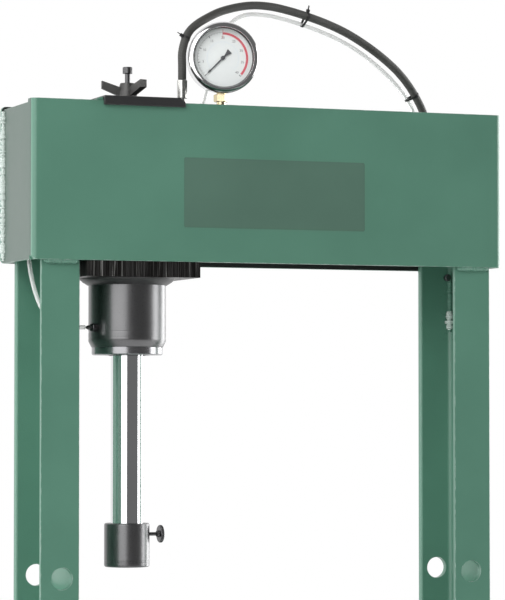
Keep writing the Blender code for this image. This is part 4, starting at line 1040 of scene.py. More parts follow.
def drag_lines(shape, low, high, depth, pitch):
    """Divides the upright sides and moves their columns in and out."""
    for axis, count in ((0, round((high.x - low.x) / pitch)), (1, round((high.y - low.y) / pitch))):
        for index in range(1, count):
            spot = Vector(low)
            spot[axis] += (high[axis] - low[axis]) * index / count
            normal = Vector((0, 0, 0))
            normal[axis] = 1.0
            slice_at(shape, spot, normal)
    for height in (0.25, 0.5, 0.75):
        slice_at(shape, (0, 0, low.z + (high.z - low.z) * height), (0, 0, 1))
    for vert in shape.verts:
        co = vert.co
        lean = (co.z - low.z) / (high.z - low.z)
        for axis in (0, 1):
            other = 1 - axis
            for wall, sign in ((low[axis], 1), (high[axis], -1)):
                if abs(co[axis] - wall) < 1e-5:
                    run = co[other] + 0.0016 * (1 - lean) ** 2
                    wave = noise.noise((run * 330, wall * 40, 0.3))
                    wave += 0.55 * noise.noise((run * 900, wall, 1.7))
                    scar = max(0.0, noise.noise((run * 46, wall * 9, 5.0)) - 0.32) * 2.4
                    co[axis] += sign * depth * (0.5 + 0.5 * wave + scar)


plate_low, plate_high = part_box("head_plate")
plate_mid = (plate_low + plate_high) / 2
head_plate = box_shape(plate_high - plate_low, plate_mid)
drag_lines(head_plate, plate_low, plate_high, 0.00055, 0.0016)
head_plate = cut(head_plate, bar_shape(0.0593, 0.1, plate_mid, (0, 0, 1), 96))
add_piece("head_plate_flame_cut", head_plate, CUT_EDGE, "head", ["head_plate"], 24)
collar = lathe([(0.0593, 0.0), (0.0725, 0.0), (0.0722, -0.0012), (0.0680, -0.0052), (0.0630, -0.0082),
                (0.0600, -0.0100), (0.0593, -0.0102)], True, 192)
for vert in collar.verts:
    if vert.co.z < -0.0004 and vert.co.xy.length > 0.0598:
        turn = math.atan2(vert.co.y, vert.co.x)
        vert.co.xy = vert.co.xy * (1 + 0.006 * noise.noise((turn * 9, vert.co.z * 160, 2.0)))
move_to(collar, (HEAD_X, 0, plate_low.z - 0.0002))
add_piece("weld_head_plate_to_barrel", collar, BLACK_PAINT, "head", angle=50)

# %% [markdown]
# The barrel and everything round the ram are turned. Each profile starts from the CAD piece's own box,
# so its diameter and ends are the CAD's.

# %% Barrel, closure, gland and wiper
def radius_of(node_name):
    low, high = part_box(node_name)
    return (high.x - low.x) / 2


barrel_low, barrel_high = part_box("cylinder_barrel")
BARREL_R, BORE = radius_of("cylinder_barrel"), 0.045
BARREL_FOOT = Vector((HEAD_X, 0, barrel_low.z))
tall = barrel_high.z - barrel_low.z
turned("barrel_turned", [
    (BORE, tall), (BARREL_R, tall), (BARREL_R, 0.0245), (BARREL_R - 0.0003, 0.0240),
    (BARREL_R - 0.0003, 0.0225), (BARREL_R, 0.0220), (BARREL_R, 0.0150), (BARREL_R - 0.0002, 0.0146),
    (BARREL_R - 0.0002, 0.0136), (BARREL_R, 0.0132), (BARREL_R, 0.009), (BARREL_R - 0.0045, 0.0),
    (BORE, 0.0)], BLUED, "head", BARREL_FOOT, stands_for=["cylinder_barrel"], width=0.0004, ring=True,
    steps=144)
closure_low, closure_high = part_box("cylinder_closure")
top, foot = closure_high.z - barrel_low.z, closure_low.z - barrel_low.z
turned("closure_turned", [
    (0, top), (0.030, top), (0.031, top - 0.001), (0.034, top - 0.001), (0.035, top), (BARREL_R - 0.002, top),
    (BARREL_R, top - 0.002), (BARREL_R, tall + 0.0003), (BORE - 0.0003, tall + 0.0003), (BORE - 0.0003, foot),
    (0, foot)], BLUED, "head", BARREL_FOOT, stands_for=["cylinder_closure"], width=0.0004, steps=144)
gland_low, gland_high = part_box("gland_nut")
GLAND_R, ROD_R = radius_of("gland_nut"), radius_of("ram_rod")
top, foot = gland_high.z - barrel_low.z, gland_low.z - barrel_low.z
gland = lathe([
    (ROD_R + 0.0003, top), (BORE - 0.0003, top), (BORE - 0.0003, -0.0003), (GLAND_R, -0.0003),
    (GLAND_R, foot + 0.0015), (GLAND_R - 0.0015, foot), (ROD_R + 0.0105, foot),
    (ROD_R + 0.0095, foot + 0.0012), (ROD_R + 0.0053, foot + 0.0012), (ROD_R + 0.0053, foot + 0.0063),
    (ROD_R + 0.0003, foot + 0.0063)], True, 144)
for quarter in range(4):
    turn = math.radians(45 + 90 * quarter)
    hole = bar_shape(0.0032, 0.012, (0.044 * math.cos(turn), 0.044 * math.sin(turn), foot), (0, 0, 1), 24)
    gland = cut(gland, hole)
round_edges(gland, 0.0004)
move_to(gland, BARREL_FOOT)
add_piece("gland_nut_turned", gland, GLAND_STEEL, "head", ["gland_nut"])
turned("rod_wiper_lipped", [
    (ROD_R + 0.0003, foot + 0.006), (ROD_R + 0.005, foot + 0.006), (ROD_R + 0.005, foot + 0.0003),
    (ROD_R + 0.0030, foot - 0.0002), (ROD_R + 0.0018, foot - 0.001), (ROD_R + 0.0003, foot + 0.001)],
    SEAL, "head", BARREL_FOOT, stands_for=["rod_wiper"], width=0.0002, ring=True)

# %% [markdown]
# The return tube is pushed onto a small barb. Its saw-tooth rings let the tube slide on and grip it when
# it is pulled.

# %% Return barb on the barrel
barb_mid = middle("cylinder_barb")
barb_way = Vector((barb_mid.x - HEAD_X, barb_mid.y, 0)).normalized()
barb_foot = Vector((HEAD_X, 0, barb_mid.z)) + barb_way * (BARREL_R + 0.0003)
turned("return_barb", [
    (0, 0.018), (0.0022, 0.018), (0.0036, 0.0142), (0.0026, 0.0138), (0.0026, 0.0122), (0.0036, 0.0117),
    (0.0028, 0.0112), (0.0028, 0.0100), (0.0052, 0.0096), (0.0062, 0.0086), (0.0062, 0.0), (0, 0)],
    BLACK_OXIDE, "head", barb_foot, barb_way, ["cylinder_barb"], 0.0002, steps=36)

# %% [markdown]
# On top of the beam a clamp plate, a socket screw and a cast three-arm nut hold the head where it is.
# The nut was cast in sand, so its corners are soft and its skin is a little rough.

# %% Clamp plate, screw and cast nut
edged("clamp_plate", BLACK_PAINT, 0.0010, 3)


def socket_screw():
    low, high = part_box("clamp_screw")
    head_r, shank = radius_of("clamp_screw"), 0.004
    top, under = high.z - low.z, high.z - low.z - 0.010
    shape = lathe([(0, top), (head_r - 0.0007, top), (head_r, top - 0.0009), (head_r, under + 0.0003),
                   (head_r - 0.0003, under), (shank + 0.0004, under), (shank, under - 0.0006), (shank, 0),
                   (0, 0)], False, 96)
    for vert in shape.verts:
        if vert.co.xy.length > head_r - 0.0001 and under + 0.0002 < vert.co.z < top - 0.0005:
            turn = math.atan2(vert.co.y, vert.co.x)
            vert.co.xy = vert.co.xy * (1 - 0.022 * (0.5 + 0.5 * math.cos(turn * 32)))
    shape = cut(shape, bar_shape(0.0052, 0.014, (0, 0, top), (0, 0, 1), 6))
    move_to(shape, (HEAD_X, 0, low.z))
    return add_piece("clamp_screw_socket", shape, BLACK_OXIDE, "head", ["clamp_screw"])


socket_screw()


def cast_nut():
    """Hub, neck and three flat arms that rise outwards, joined and softened as a casting is."""
    low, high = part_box("wing_nut")
    hub = lathe([(0, 0.0158), (0.0147, 0.0158), (0.0147, 0.0068), (0.0162, 0.0058), (0.0164, 0.0050),
                 (0.0164, 0.0008), (0.0156, 0.0), (0, 0)], False, 72)
    cone = bmesh.new()
    bmesh.ops.create_cone(cone, cap_ends=True, segments=64, radius1=0.0147, radius2=0.0112, depth=0.0125)
    bmesh.ops.translate(cone, vec=(0, 0, 0.0216), verts=cone.verts)
    shape = cut(hub, cone, "UNION")
    long = 0.0398
    for turn in (169, 289, 49):
        arm = box_shape((long - 0.006, 0.0112, 0.0112), ((long + 0.006) / 2, 0, 0))
        for vert in arm.verts:
            out = vert.co.x / long
            vert.co.y *= 0.86 + 0.22 * out
            vert.co.z = vert.co.z * (1.35 - 0.33 * out) + 0.0100 + 0.0152 * out
        bmesh.ops.rotate(arm, cent=(0, 0, 0), matrix=Matrix.Rotation(math.radians(turn), 3, "Z"),
                         verts=arm.verts)
        shape = cut(shape, arm, "UNION")
    bmesh.ops.dissolve_limit(shape, angle_limit=math.radians(2), verts=shape.verts, edges=shape.edges)
    shape = cut(shape, bar_shape(0.0043, 0.08, (0, 0, 0.01), (0, 0, 1), 48))
    round_edges(shape, 0.0011, 3, 32)
    for vert in shape.verts:
        if math.hypot(vert.co.x, vert.co.y) > 0.006:
            vert.co += noise.noise_vector(vert.co * 320) * 0.00012
    tall = max(v.co.z for v in shape.verts)
    print("nut height", round(tall, 4), "CAD", round(high.z - low.z, 4))
    move_to(shape, (HEAD_X, 0, low.z))
    return add_piece("clamping_nut_cast", shape, CAST_BLACK, "nut", ["wing_nut"], 40)


cast_nut()

# %% [markdown]
# A steel block on the closure's side carries the hose and the gauge. The hose end is a hexagon nipple
# with a crimped ferrule: the crimping dies press eight flats into its skirt.

# %% Port block and hose end
edged("port_manifold", BLACK_OXIDE, 0.0012, 3)
adapter = middle("hose_adapter")
low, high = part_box("hose_adapter")
nipple = hexagon(0.0111, 0.014, 0.007, [
    (0, 0.0142), (0.0098, 0.0142), (0.0125, 0.0128), (0.0125, -0.001), (0, -0.001)], 96)
round_edges(nipple, 0.0002, 1, 40)
neck = bar_shape(0.0062, high.z - low.z - 0.0135, (0, 0, (high.z - low.z + 0.0135) / 2), (0, 0, 1), 40)
join(nipple, neck)
move_to(nipple, (adapter.x, 0, low.z))
add_piece("hose_nipple", nipple, ZINC, "head", ["hose_adapter"])
low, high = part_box("hose_ferrule")
FERRULE_R, tall = radius_of("hose_ferrule"), high.z - low.z


def crimp(shape):
    for vert in shape.verts:
        z = vert.co.z
        if tall * 0.12 < z < tall * 0.94 and vert.co.xy.length > FERRULE_R * 0.9:
            turn = math.atan2(vert.co.y, vert.co.x)
            press = 0.018 * (0.5 + 0.5 * math.cos(turn * 8)) ** 3
            ring = 0.008 * (0.5 + 0.5 * math.cos(z / tall * math.tau * 4))
            vert.co.xy = vert.co.xy * (1 - press - ring * 0.5)


turned("hose_ferrule_crimped", [
    (0, tall), (FERRULE_R - 0.0010, tall), (FERRULE_R, tall - 0.0010),
    *[(FERRULE_R, tall * share) for share in (0.92, 0.82, 0.72, 0.62, 0.52, 0.42, 0.32, 0.22, 0.14)],
    (FERRULE_R, 0.0012), (FERRULE_R - 0.0012, 0.0), (0, 0)], ZINC, "head", (adapter.x, 0, low.z),
    stands_for=["hose_ferrule"], width=0.0, steps=96, change=crimp)

# %% [markdown]
# ## The pressure gauge
# The gauge is a 100 mm one: a polished steel case and bayonet ring, a glass, and a white dial with plain
# numbers. Everything on it is built round its own axis, which faces the front.

# %% Case, ring, lens and dial
GAUGE_TURN = math.radians(10)
FACE = Vector((-math.sin(GAUGE_TURN), -math.cos(GAUGE_TURN), 0.0))
case_r, ring_r = 0.0525, 0.055
case_back, ring_front, ring_back = -0.022, 0.0275, 0.010
GAUGE = middle("gauge_bezel") - FACE * (ring_front + ring_back) / 2
LIP = 0.0465
turned("gauge_case_drawn", [
    (0, case_back + 0.002), (case_r - 0.002, case_back + 0.002), (case_r - 0.002, 0.021), (case_r, 0.021),
    (case_r, 0.004), (case_r - 0.0006, 0.003), (case_r - 0.0006, -0.014),
    (case_r - 0.0012, case_back + 0.004),
    (case_r - 0.004, case_back), (0.020, case_back), (0.019, case_back + 0.0006),
    (0, case_back + 0.0006)],
    STAINLESS, "head", GAUGE, FACE, ["gauge_case"], 0.0003, steps=128)
turned("gauge_ring_bayonet", [
    (LIP, ring_front - 0.0012), (LIP + 0.0006, ring_front - 0.0002), (LIP + 0.0022, ring_front),
    (ring_r - 0.0060, ring_front), (ring_r - 0.0030, ring_front - 0.0008),
    (ring_r - 0.0010, ring_front - 0.0024),
    (ring_r - 0.0001, ring_front - 0.0046), (ring_r, ring_front - 0.008), (ring_r, ring_back + 0.0015),
    (ring_r - 0.0006, ring_back), (case_r + 0.0003, ring_back), (case_r + 0.0003, 0.0246), (LIP, 0.0246)],
    STAINLESS, "head", GAUGE, FACE, ["gauge_bezel"], 0.0, ring=True, steps=144)
turned("gauge_ring_seal", [
    (LIP - 0.0010, 0.0246), (LIP + 0.0012, 0.0246), (LIP + 0.0012, 0.0150), (LIP - 0.0004, 0.0150)],
    SEAL, "head", GAUGE, FACE, (), 0.0002, ring=True, steps=128)
turned("gauge_glass", [(0, 0.0242), (LIP + 0.0030, 0.0242), (LIP + 0.0030, 0.0213), (0, 0.0213)],
       LENS, "head", GAUGE, FACE, ["gauge_lens"], 0.0, steps=96)
DIAL_R, DIAL_Z = 0.0500, 0.0135
turned("gauge_dial_plate", [(0, DIAL_Z), (DIAL_R, DIAL_Z), (DIAL_R, DIAL_Z - 0.0015), (0, DIAL_Z - 0.0015)],
       DIAL, "head", GAUGE, FACE, ["gauge_dial"], 0.0, steps=128)

# %% [markdown]
# The dial's print is thin raised ink: an outer scale with plain numbers, a red band over its upper
# half, and a pale inner scale. The scale runs through 270 degrees, from half past seven on a clock.

# %% Marks on the dial
SCALE_R = 0.0395
SCALE_START, SCALE_SWEEP = 225, 270
SCALE_END = SCALE_START + SCALE_SWEEP


def on_dial(clock, radius, lift=0.0):
    """A point on the dial. clock is in degrees from twelve o'clock, clockwise."""
    turn = math.radians(clock)
    return GAUGE + Vector((radius * math.sin(turn), -DIAL_Z - lift, radius * math.cos(turn)))


def dial_band(shape, start, end, inner, outer, lift, steps):
    """A flat arc of ink, standing a little off the dial."""
    edges = []
    for radius in (inner, outer):
        arc = [shape.verts.new(on_dial(start + (end - start) * i / steps, radius, lift))
               for i in range(steps + 1)]
        edges += [shape.edges.new(pair) for pair in zip(arc, arc[1:])]
    bmesh.ops.bridge_loops(shape, edges=edges)


def dial_mark(shape, clock, inner, outer, width, lift):
    centre = on_dial(clock, (inner + outer) / 2, lift)
    made = bmesh.ops.create_grid(shape, x_segments=1, y_segments=1, size=0.5)["verts"]
    turn = Matrix.Rotation(math.radians(clock), 4, "Y") @ Matrix.Rotation(math.radians(90), 4, "X")
    size = Matrix.Diagonal((width, outer - inner, 1.0, 1.0))
    bmesh.ops.transform(shape, matrix=Matrix.Translation(centre) @ turn @ size, verts=made)


def turn_with_gauge(shape):
    bmesh.ops.rotate(shape, cent=GAUGE, matrix=Matrix.Rotation(-GAUGE_TURN, 3, "Z"), verts=shape.verts)


def dial_print(name, shape, ink):
    bmesh.ops.recalc_face_normals(shape, faces=shape.faces)
    for face in shape.faces:
        if face.normal.y > 0:
            face.normal_flip()
    turn_with_gauge(shape)
    return add_piece(name, shape, ink, "head", even=False)


black = bmesh.new()
for step in range(41):
    clock = SCALE_START + SCALE_SWEEP * step / 40
    if step % 5 == 0:
        dial_mark(black, clock, SCALE_R - 0.0034, SCALE_R, 0.0011, 0.00006)
    else:
        dial_mark(black, clock, SCALE_R - 0.0022, SCALE_R, 0.00035, 0.00006)
dial_band(black, SCALE_START, SCALE_END, SCALE_R, SCALE_R + 0.0003, 0.00006, 90)
dial_print("dial_outer_scale", black, INK)
red = bmesh.new()
dial_band(red, 0, 131, 0.0362, 0.0398, 0.00010, 60)
dial_mark(red, 0, 0.0300, 0.0440, 0.0007, 0.00012)
dial_print("dial_red_band", red, RED_INK)
blue = bmesh.new()
dial_band(blue, SCALE_START, SCALE_END, 0.0245, 0.0249, 0.00006, 80)
for step in range(28):
    dial_mark(blue, SCALE_START + 10 * step, 0.0249, 0.0262, 0.0003, 0.00006)
dial_print("dial_inner_scale", blue, BLUE_INK)


def dial_number(text, clock, radius, height):
    words = bpy.data.curves.new("number", "FONT")
    words.body = text
    words.size = height
    words.align_x, words.align_y = "CENTER", "CENTER"
    shape = curve_to_shape(words)
    turn = Matrix.Rotation(math.radians(90), 4, "X")
    place = Matrix.Translation(on_dial(clock, radius, 0.00008))
    bmesh.ops.transform(shape, matrix=place @ turn, verts=shape.verts)
    return shape


numbers = bmesh.new()
for step in range(9):
    join(numbers, dial_number(str(step * 5), SCALE_START + SCALE_SWEEP * step / 8, 0.0312, 0.0054))
dial_print("dial_numbers", numbers, INK)
small = bmesh.new()
for step in range(5):
    join(small, dial_number(str(step), SCALE_START + SCALE_SWEEP * step / 4, 0.0205, 0.0034))
dial_print("dial_inner_numbers", small, BLUE_INK)


# %% [markdown]
# The pointer is stamped from thin sheet: a slim needle with a small head near its tip, and a triangular
# tail that balances it. It turns about the gauge's axis, so it rides on its own body.

# %% Pointer
def pointer():
    outline = [(-0.0150, -0.0046), (-0.0150, 0.0046), (-0.0055, 0.0014), (0.0, 0.0014), (0.0270, 0.0009),
               (0.0280, 0.0019), (0.0335, 0.0005), (0.0360, 0.0), (0.0335, -0.0005), (0.0280, -0.0019),
               (0.0270, -0.0009), (0.0, -0.0014), (-0.0055, -0.0014)]
    shape = bmesh.new()
    shape.faces.new([shape.verts.new((x, y, 0.0)) for x, y in outline])
    pulled = bmesh.ops.extrude_face_region(shape, geom=shape.faces[:])["geom"]
    bmesh.ops.translate(shape, vec=(0, 0, 0.0006), verts=points_of(pulled))
    bmesh.ops.recalc_face_normals(shape, faces=shape.faces)
    hub = lathe([(0, 0.0016), (0.0009, 0.0016), (0.0011, 0.0010), (0.0030, 0.0010), (0.0034, 0.0006),
                 (0.0034, -0.0008), (0, -0.0008)], False, 48)
    join(shape, hub)
    tip_down = Matrix.Rotation(math.radians(90), 4, "X") @ Matrix.Rotation(math.radians(225), 4, "Z")
    lift = Matrix.Translation(GAUGE + Vector((0, -0.0150, 0)))
    bmesh.ops.transform(shape, matrix=lift @ tip_down, verts=shape.verts)
    turn_with_gauge(shape)
    return add_piece("gauge_pointer_stamped", shape, INK, body_of("gauge_pointer"), ["gauge_pointer"])


pointer()

# %% [markdown]
# The gauge screws into the block with a brass stem, and the hexagon on it takes the spanner. Inside the
# case a curved bronze tube straightens under pressure and moves the pointer.

# %% Brass stem and bourdon tube
stem_low, stem_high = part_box("gauge_stem")
hex_top = GAUGE.z - ring_r - 0.0002
hex_under = hex_top - 0.0117
hex_nut = hexagon(0.01175, 0.0117, 0.0, [
    (0, 0.0060), (0.0098, 0.0060), (0.0122, 0.0046), (0.0122, -0.0046), (0.0098, -0.0060), (0, -0.0060)], 72)
bmesh.ops.rotate(hex_nut, cent=(0, 0, 0), matrix=Matrix.Rotation(math.radians(8), 3, "Z"),
                 verts=hex_nut.verts)
bmesh.ops.translate(hex_nut, vec=(GAUGE.x, 0, (hex_top + hex_under) / 2), verts=hex_nut.verts)
tall = stem_high.z - stem_low.z
shank = lathe([(0, tall), (0.0072, tall), (0.0072, 0.0040), (0.0066, 0.0032), (0.0072, 0.0024), (0.0072, 0),
               (0, 0)], False, 64)
move_to(shank, (GAUGE.x, 0, stem_low.z))
add_piece("gauge_stem_brass", join(hex_nut, shank), BRASS, "head", ["gauge_stem"])
edged("bourdon_tube", BRONZE, 0.0, 1)

# %% [markdown]
# ## The ram
# The rod is ground and hard chromed, so it mirrors the whole room in narrow upright bands. The pressing
# cap slips over its end, and a knurled thumbscrew holds it.

# %% Rod, piston and cap
rod_low, rod_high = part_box("ram_rod")
tall = rod_high.z - rod_low.z
turned("ram_rod_chromed", [
    (0, 0.012), (0.014, 0.012), (0.014, tall), (ROD_R, tall), (ROD_R, 0.0022), (ROD_R - 0.002, 0), (0, 0)],
    CHROME, "ram", (HEAD_X, 0, rod_low.z), stands_for=["ram_rod"], width=0.0003, steps=144)
edged("ram_piston", STEEL, 0.0003, 1)
edged("piston_seal", SEAL, 0.0002, 1)
edged("rod_bush", BRONZE, 0.0003, 1)
cap_low, cap_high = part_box("ram_cap")
CAP_R, tall = radius_of("ram_cap"), cap_high.z - cap_low.z
rings = []
for z in (0.0095, 0.0070):
    rings += [(CAP_R, z + 0.0009), (CAP_R - 0.00025, z + 0.0006), (CAP_R - 0.00025, z + 0.0003), (CAP_R, z)]
cap = lathe([
    (0, tall - 0.0444), (ROD_R + 0.0003, tall - 0.0444), (ROD_R + 0.0003, tall - 0.0010),
    (ROD_R + 0.0013, tall), (CAP_R - 0.0030, tall), (CAP_R - 0.0014, tall - 0.0004),
    (CAP_R - 0.0004, tall - 0.0014), (CAP_R, tall - 0.0030),
    *rings, (CAP_R, 0.0030), (CAP_R - 0.0004, 0.0014), (CAP_R - 0.0014, 0.0004), (CAP_R - 0.0030, 0),
    (0.012, 0), (0.011, 0.0006), (0, 0.0006)], False, 144)
screw_z = middle("cap_screw").z
cap = cut(cap, bar_shape(0.0031, 0.03, (CAP_R, 0, screw_z - cap_low.z), (1, 0, 0), 32))
move_to(cap, (HEAD_X, 0, cap_low.z))
add_piece("ram_cap_turned", cap, BLUED, body_of("ram_cap"), ["ram_cap"], 30)

# %% [markdown]
# The thumbscrew's disc is turned by bare fingers, so its rim is knurled.

# %% Knurled thumbscrew
screw_low, screw_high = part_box("cap_screw")
DISC_R = (screw_high.z - screw_low.z) / 2
length = screw_high.x - screw_low.x


def knurl(shape):
    groove(shape, 36, 0.035, DISC_R * 0.93)


turned("thumbscrew_knurled", [
    (0, length - 0.0006), (0.0060, length - 0.0006), (0.0066, length), (DISC_R - 0.0012, length),
    (DISC_R - 0.0002, length - 0.0008), (DISC_R, length - 0.0016), (DISC_R, length - 0.0034),
    (DISC_R - 0.0002, length - 0.0042), (DISC_R - 0.0012, length - 0.005), (0.0064, length - 0.005),
    (0.0054, length - 0.0056), (0.0048, length - 0.0086), (0.00275, length - 0.0100), (0.00275, 0.0008),
    (0.0020, 0), (0, 0)], BLACK_OXIDE, body_of("cap_screw"), (screw_low.x, 0, screw_z), (1, 0, 0),
    ["cap_screw"], 0.0, steps=216, change=knurl)

# %% [markdown]
# A pull spring inside the hollow rod lifts the ram again when the oil is let out. It is hooked to the
# closure above and to the rod's floor below. Here its coil is the CAD piece's, laid in the world on no body.

# %% Return spring
spring = bmesh.new()
spring.from_mesh(nodes["return_spring"].data)
bmesh.ops.remove_doubles(spring, verts=spring.verts, dist=0.000003)
spring_piece = add_piece("return_spring_coil", spring, STEEL, None, angle=60, even=False)
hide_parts("return_spring")
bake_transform(spring_piece)

# %% [markdown]
# ## The table and its pins
# Two channels stand back to back with the posts between them, and carry the work. They lie on two pins
# through the posts. The pins are bright, and their heads have a knurled band for the hand.

# %% Table channels and spacers
TABLE_WEB, TABLE_FLANGE = 0.0075, 0.0105


def table_channel(node_name, faces):
    low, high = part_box(node_name)
    size = high - low
    shape = channel_shape(size.z, size.y, TABLE_WEB, TABLE_FLANGE, 0.009, 0.005, size.x)
    bmesh.ops.translate(shape, vec=(0, 0, -size.x / 2), verts=shape.verts)
    lay = Matrix.Rotation(math.radians(90), 4, "Y") @ Matrix.Rotation(math.radians(90), 4, "Z")
    turn = Matrix.Identity(4) if faces < 0 else Matrix.Rotation(math.radians(180), 4, "Z")
    bmesh.ops.transform(shape, matrix=Matrix.Translation((low + high) / 2) @ turn @ lay, verts=shape.verts)
    round_edges(shape, 0.0008, 2, 50)
    piece = add_piece(node_name + "_rolled", shape, GREEN, "table", [node_name], 30)
    made = [v.co for v in piece.data.vertices]
    print(node_name, "web at", round(min(abs(v.y) for v in made), 4))


table_channel("table_front_channel", -1)
table_channel("table_rear_channel", 1)
for word in ("left", "right"):
    edged(f"table_spacer_{word}", GREEN, 0.0008)
    low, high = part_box(f"table_spacer_{word}")
    for hand, x in (("a", low.x - 0.0005), ("b", high.x + 0.0005)):
        for side, y in (("front", low.y + 0.0005), ("rear", high.y - 0.0005)):
            upright_bead(f"weld_spacer_{word}_{side}_{hand}", x, y, low.z + 0.004, high.z - 0.004, 0.0032,
                         "table")


# %% [markdown]
# A pin is turned from bright bar, with a chamfer to find its hole and a thicker head to pull it by.

# %% Table pins
def table_pin(node_name):
    low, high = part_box(node_name)
    length = high.y - low.y
    pin_r, head_r, head_l = 0.015, (high.x - low.x) / 2, 0.022

    def grip(shape):
        groove(shape, 44, 0.020, head_r * 0.96, length - head_l + 0.004, length - 0.003)

    foot = length - head_l
    turned(node_name + "_turned", [
        (0, length - 0.0012), (0.006, length - 0.0012), (0.007, length), (head_r - 0.0025, length),
        (head_r, length - 0.0025), (head_r, length - 0.004), (head_r, length - 0.008),
        (head_r, length - 0.012), (head_r, foot + 0.0055), (head_r, foot + 0.003), (head_r - 0.002, foot),
        (pin_r, foot), (pin_r, 0.0030),
        (pin_r - 0.003, 0), (0, 0)], ZINC, body_of(node_name),
        ((low.x + high.x) / 2, high.y, (low.z + high.z) / 2), (0, -1, 0), [node_name], 0.0003, steps=176,
        change=grip)


table_pin("table_pin_left")
table_pin("table_pin_right")

# %% [markdown]
# ## The hand pump
# The pump hangs on the right post's outer side: a bracket, a welded oil tank, a steel block with the
# plunger, and a lever on a fork. Two hexagon bolts hold the bracket.

# %% Bracket, tank and its seams
edged("pump_bracket", GREEN, 0.0012, 2)
tank_low, tank_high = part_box("pump_tank")
edged("pump_tank", GREEN, 0.0004, 1, 60)
TANK_R = 0.006
for word, z in (("lower", tank_low.z + 0.012), ("upper", tank_high.z - 0.012)):
    left_x, right_x = tank_low.x + TANK_R, tank_high.x - TANK_R
    front_y, back_y = tank_low.y + TANK_R, tank_high.y - TANK_R
    ring = []
    for x, y, start in ((right_x, back_y, 0), (left_x, back_y, 90), (left_x, front_y, 180),
                        (right_x, front_y, 270)):
        ring += [(*point, z) for point in arc_points(x, y, TANK_R - 0.0009, start, start + 90, 5)]
    bead(f"weld_tank_{word}", ring, 0.0021, "frame", closed=True, rough=0.14)
bracket_low, bracket_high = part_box("pump_bracket")
for side, y in (("front", bracket_low.y), ("rear", bracket_high.y)):
    upright_bead(f"weld_bracket_{side}", bracket_high.x + 0.0002, y, tank_low.z + 0.01, tank_high.z - 0.01,
                 0.0030, "frame")


# %% [markdown]
# The bolts' threads are drawn as rings and not as a helix: from outside the post nothing shows the
# difference. The filler plug has a ribbed rim.

# %% Hexagon bolts, filler plug and fittings
def hex_bolt(node_name):
    """Head with a washer face and a chamfered crown, and the end of the thread inside the post."""
    low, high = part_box(node_name)
    tall = 0.0064
    head = hexagon(0.0095, tall, tall / 2, [
        (0, 0.0066), (0.0076, 0.0066), (0.0099, 0.0054), (0.0099, 0.0), (0, 0.0)], 72)
    length = high.x - low.x - tall
    thread = lathe([(0, 0.002), (0.005, 0.002)] + [
        point for turn in range(9) for point in ((0.0050, -length + 0.0135 - turn * 0.0015),
                                                 (0.0044, -length + 0.01275 - turn * 0.0015))]
        + [(0.0040, -length), (0, -length)], False, 48)
    join(head, thread)
    move_to(head, (high.x - tall, (low.y + high.y) / 2, (low.z + high.z) / 2), (1, 0, 0))
    add_piece(node_name + "_hexagon", head, ZINC, "frame", [node_name])


hex_bolt("bracket_bolt_upper")
hex_bolt("bracket_bolt_lower")
plug_low, plug_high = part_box("filler_plug")
PLUG_R = (plug_high.x - plug_low.x) / 2
plug_tall = plug_high.z - plug_low.z


def coin_grip(shape):
    groove(shape, 24, 0.05, PLUG_R * 0.95, 0.0115)


turned("filler_plug_ribbed", [
    (0, plug_tall - 0.001), (0.008, plug_tall - 0.001), (0.009, plug_tall), (PLUG_R - 0.001, plug_tall),
    (PLUG_R, plug_tall - 0.001), (PLUG_R, 0.0155), (PLUG_R, 0.0112), (PLUG_R - 0.003, 0.0110),
    (PLUG_R - 0.0033, 0), (0, 0)],
    BLACK_OXIDE, "frame", ((plug_low.x + plug_high.x) / 2, (plug_low.y + plug_high.y) / 2, plug_low.z),
    stands_for=["filler_plug"], width=0.0003, steps=144, change=coin_grip)
edged("pump_block", BLACK_OXIDE, 0.0010, 3)
edged("pump_outlet", ZINC, 0.0004, 2)
edged("tank_barb", BLACK_OXIDE, 0.0002, 1)
edged("pump_plunger", STEEL, 0.0006, 2)

# %% [markdown]
# The lever turns on one pin and drives the plunger with another, each held by a clip at both ends. Its
# bar is painted, and its rubber grip has ribs.

# %% Lever fork, pins, bar and ribbed grip
edged("lever_yoke", BLACK_PAINT, 0.0010, 3)
for word in ("pivot", "drive"):
    low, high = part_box(f"lever_{word}_pin")
    pin_r, length = (high.z - low.z) / 2, high.x - low.x
    turned(f"lever_{word}_pin_turned", [
        (0, length), (pin_r - 0.0006, length), (pin_r, length - 0.0006), (pin_r, length - 0.0015),
        (pin_r - 0.0006, length - 0.0016), (pin_r - 0.0006, length - 0.0024), (pin_r, length - 0.0025),
        (pin_r, 0.0025), (pin_r - 0.0006, 0.0024), (pin_r - 0.0006, 0.0016), (pin_r, 0.0015), (pin_r, 0.0006),
        (pin_r - 0.0006, 0), (0, 0)], ZINC, "lever",
        (low.x, (low.y + high.y) / 2, (low.z + high.z) / 2), (1, 0, 0), [f"lever_{word}_pin"], 0.0, steps=64)
    for side, x in (("outer", high.x - 0.0022), ("inner", low.x + 0.0016)):
        clip = lathe([(pin_r - 0.0005, 0.0006), (pin_r + 0.0024, 0.0006), (pin_r + 0.0024, 0),
                      (pin_r - 0.0005, 0)], True, 64)
        clip = cut(clip, box_shape((pin_r * 1.1, pin_r * 2, 0.01), (0, pin_r * 1.6, 0)))
        move_to(clip, (x, (low.y + high.y) / 2, (low.z + high.z) / 2), (1, 0, 0))
        add_piece(f"lever_{word}_clip_{side}", clip, BLACK_OXIDE, "lever")
pivot = middle("lever_pivot_pin")
grip_mid = middle("lever_grip")
lever_way = Vector((0, grip_mid.y - pivot.y, grip_mid.z - pivot.z)).normalized()
LEVER_END = 0.604
turned("lever_bar_painted", [
    (0, 0.534), (0.0117, 0.534), (0.0125, 0.5332), (0.0125, 0.0008), (0.0117, 0), (0, 0)], GREEN, "lever",
    pivot + lever_way * 0.066, lever_way, ["lever_bar"], 0.0003, steps=96)
GRIP_R, GRIP_L = 0.017, 0.125
ribs = []
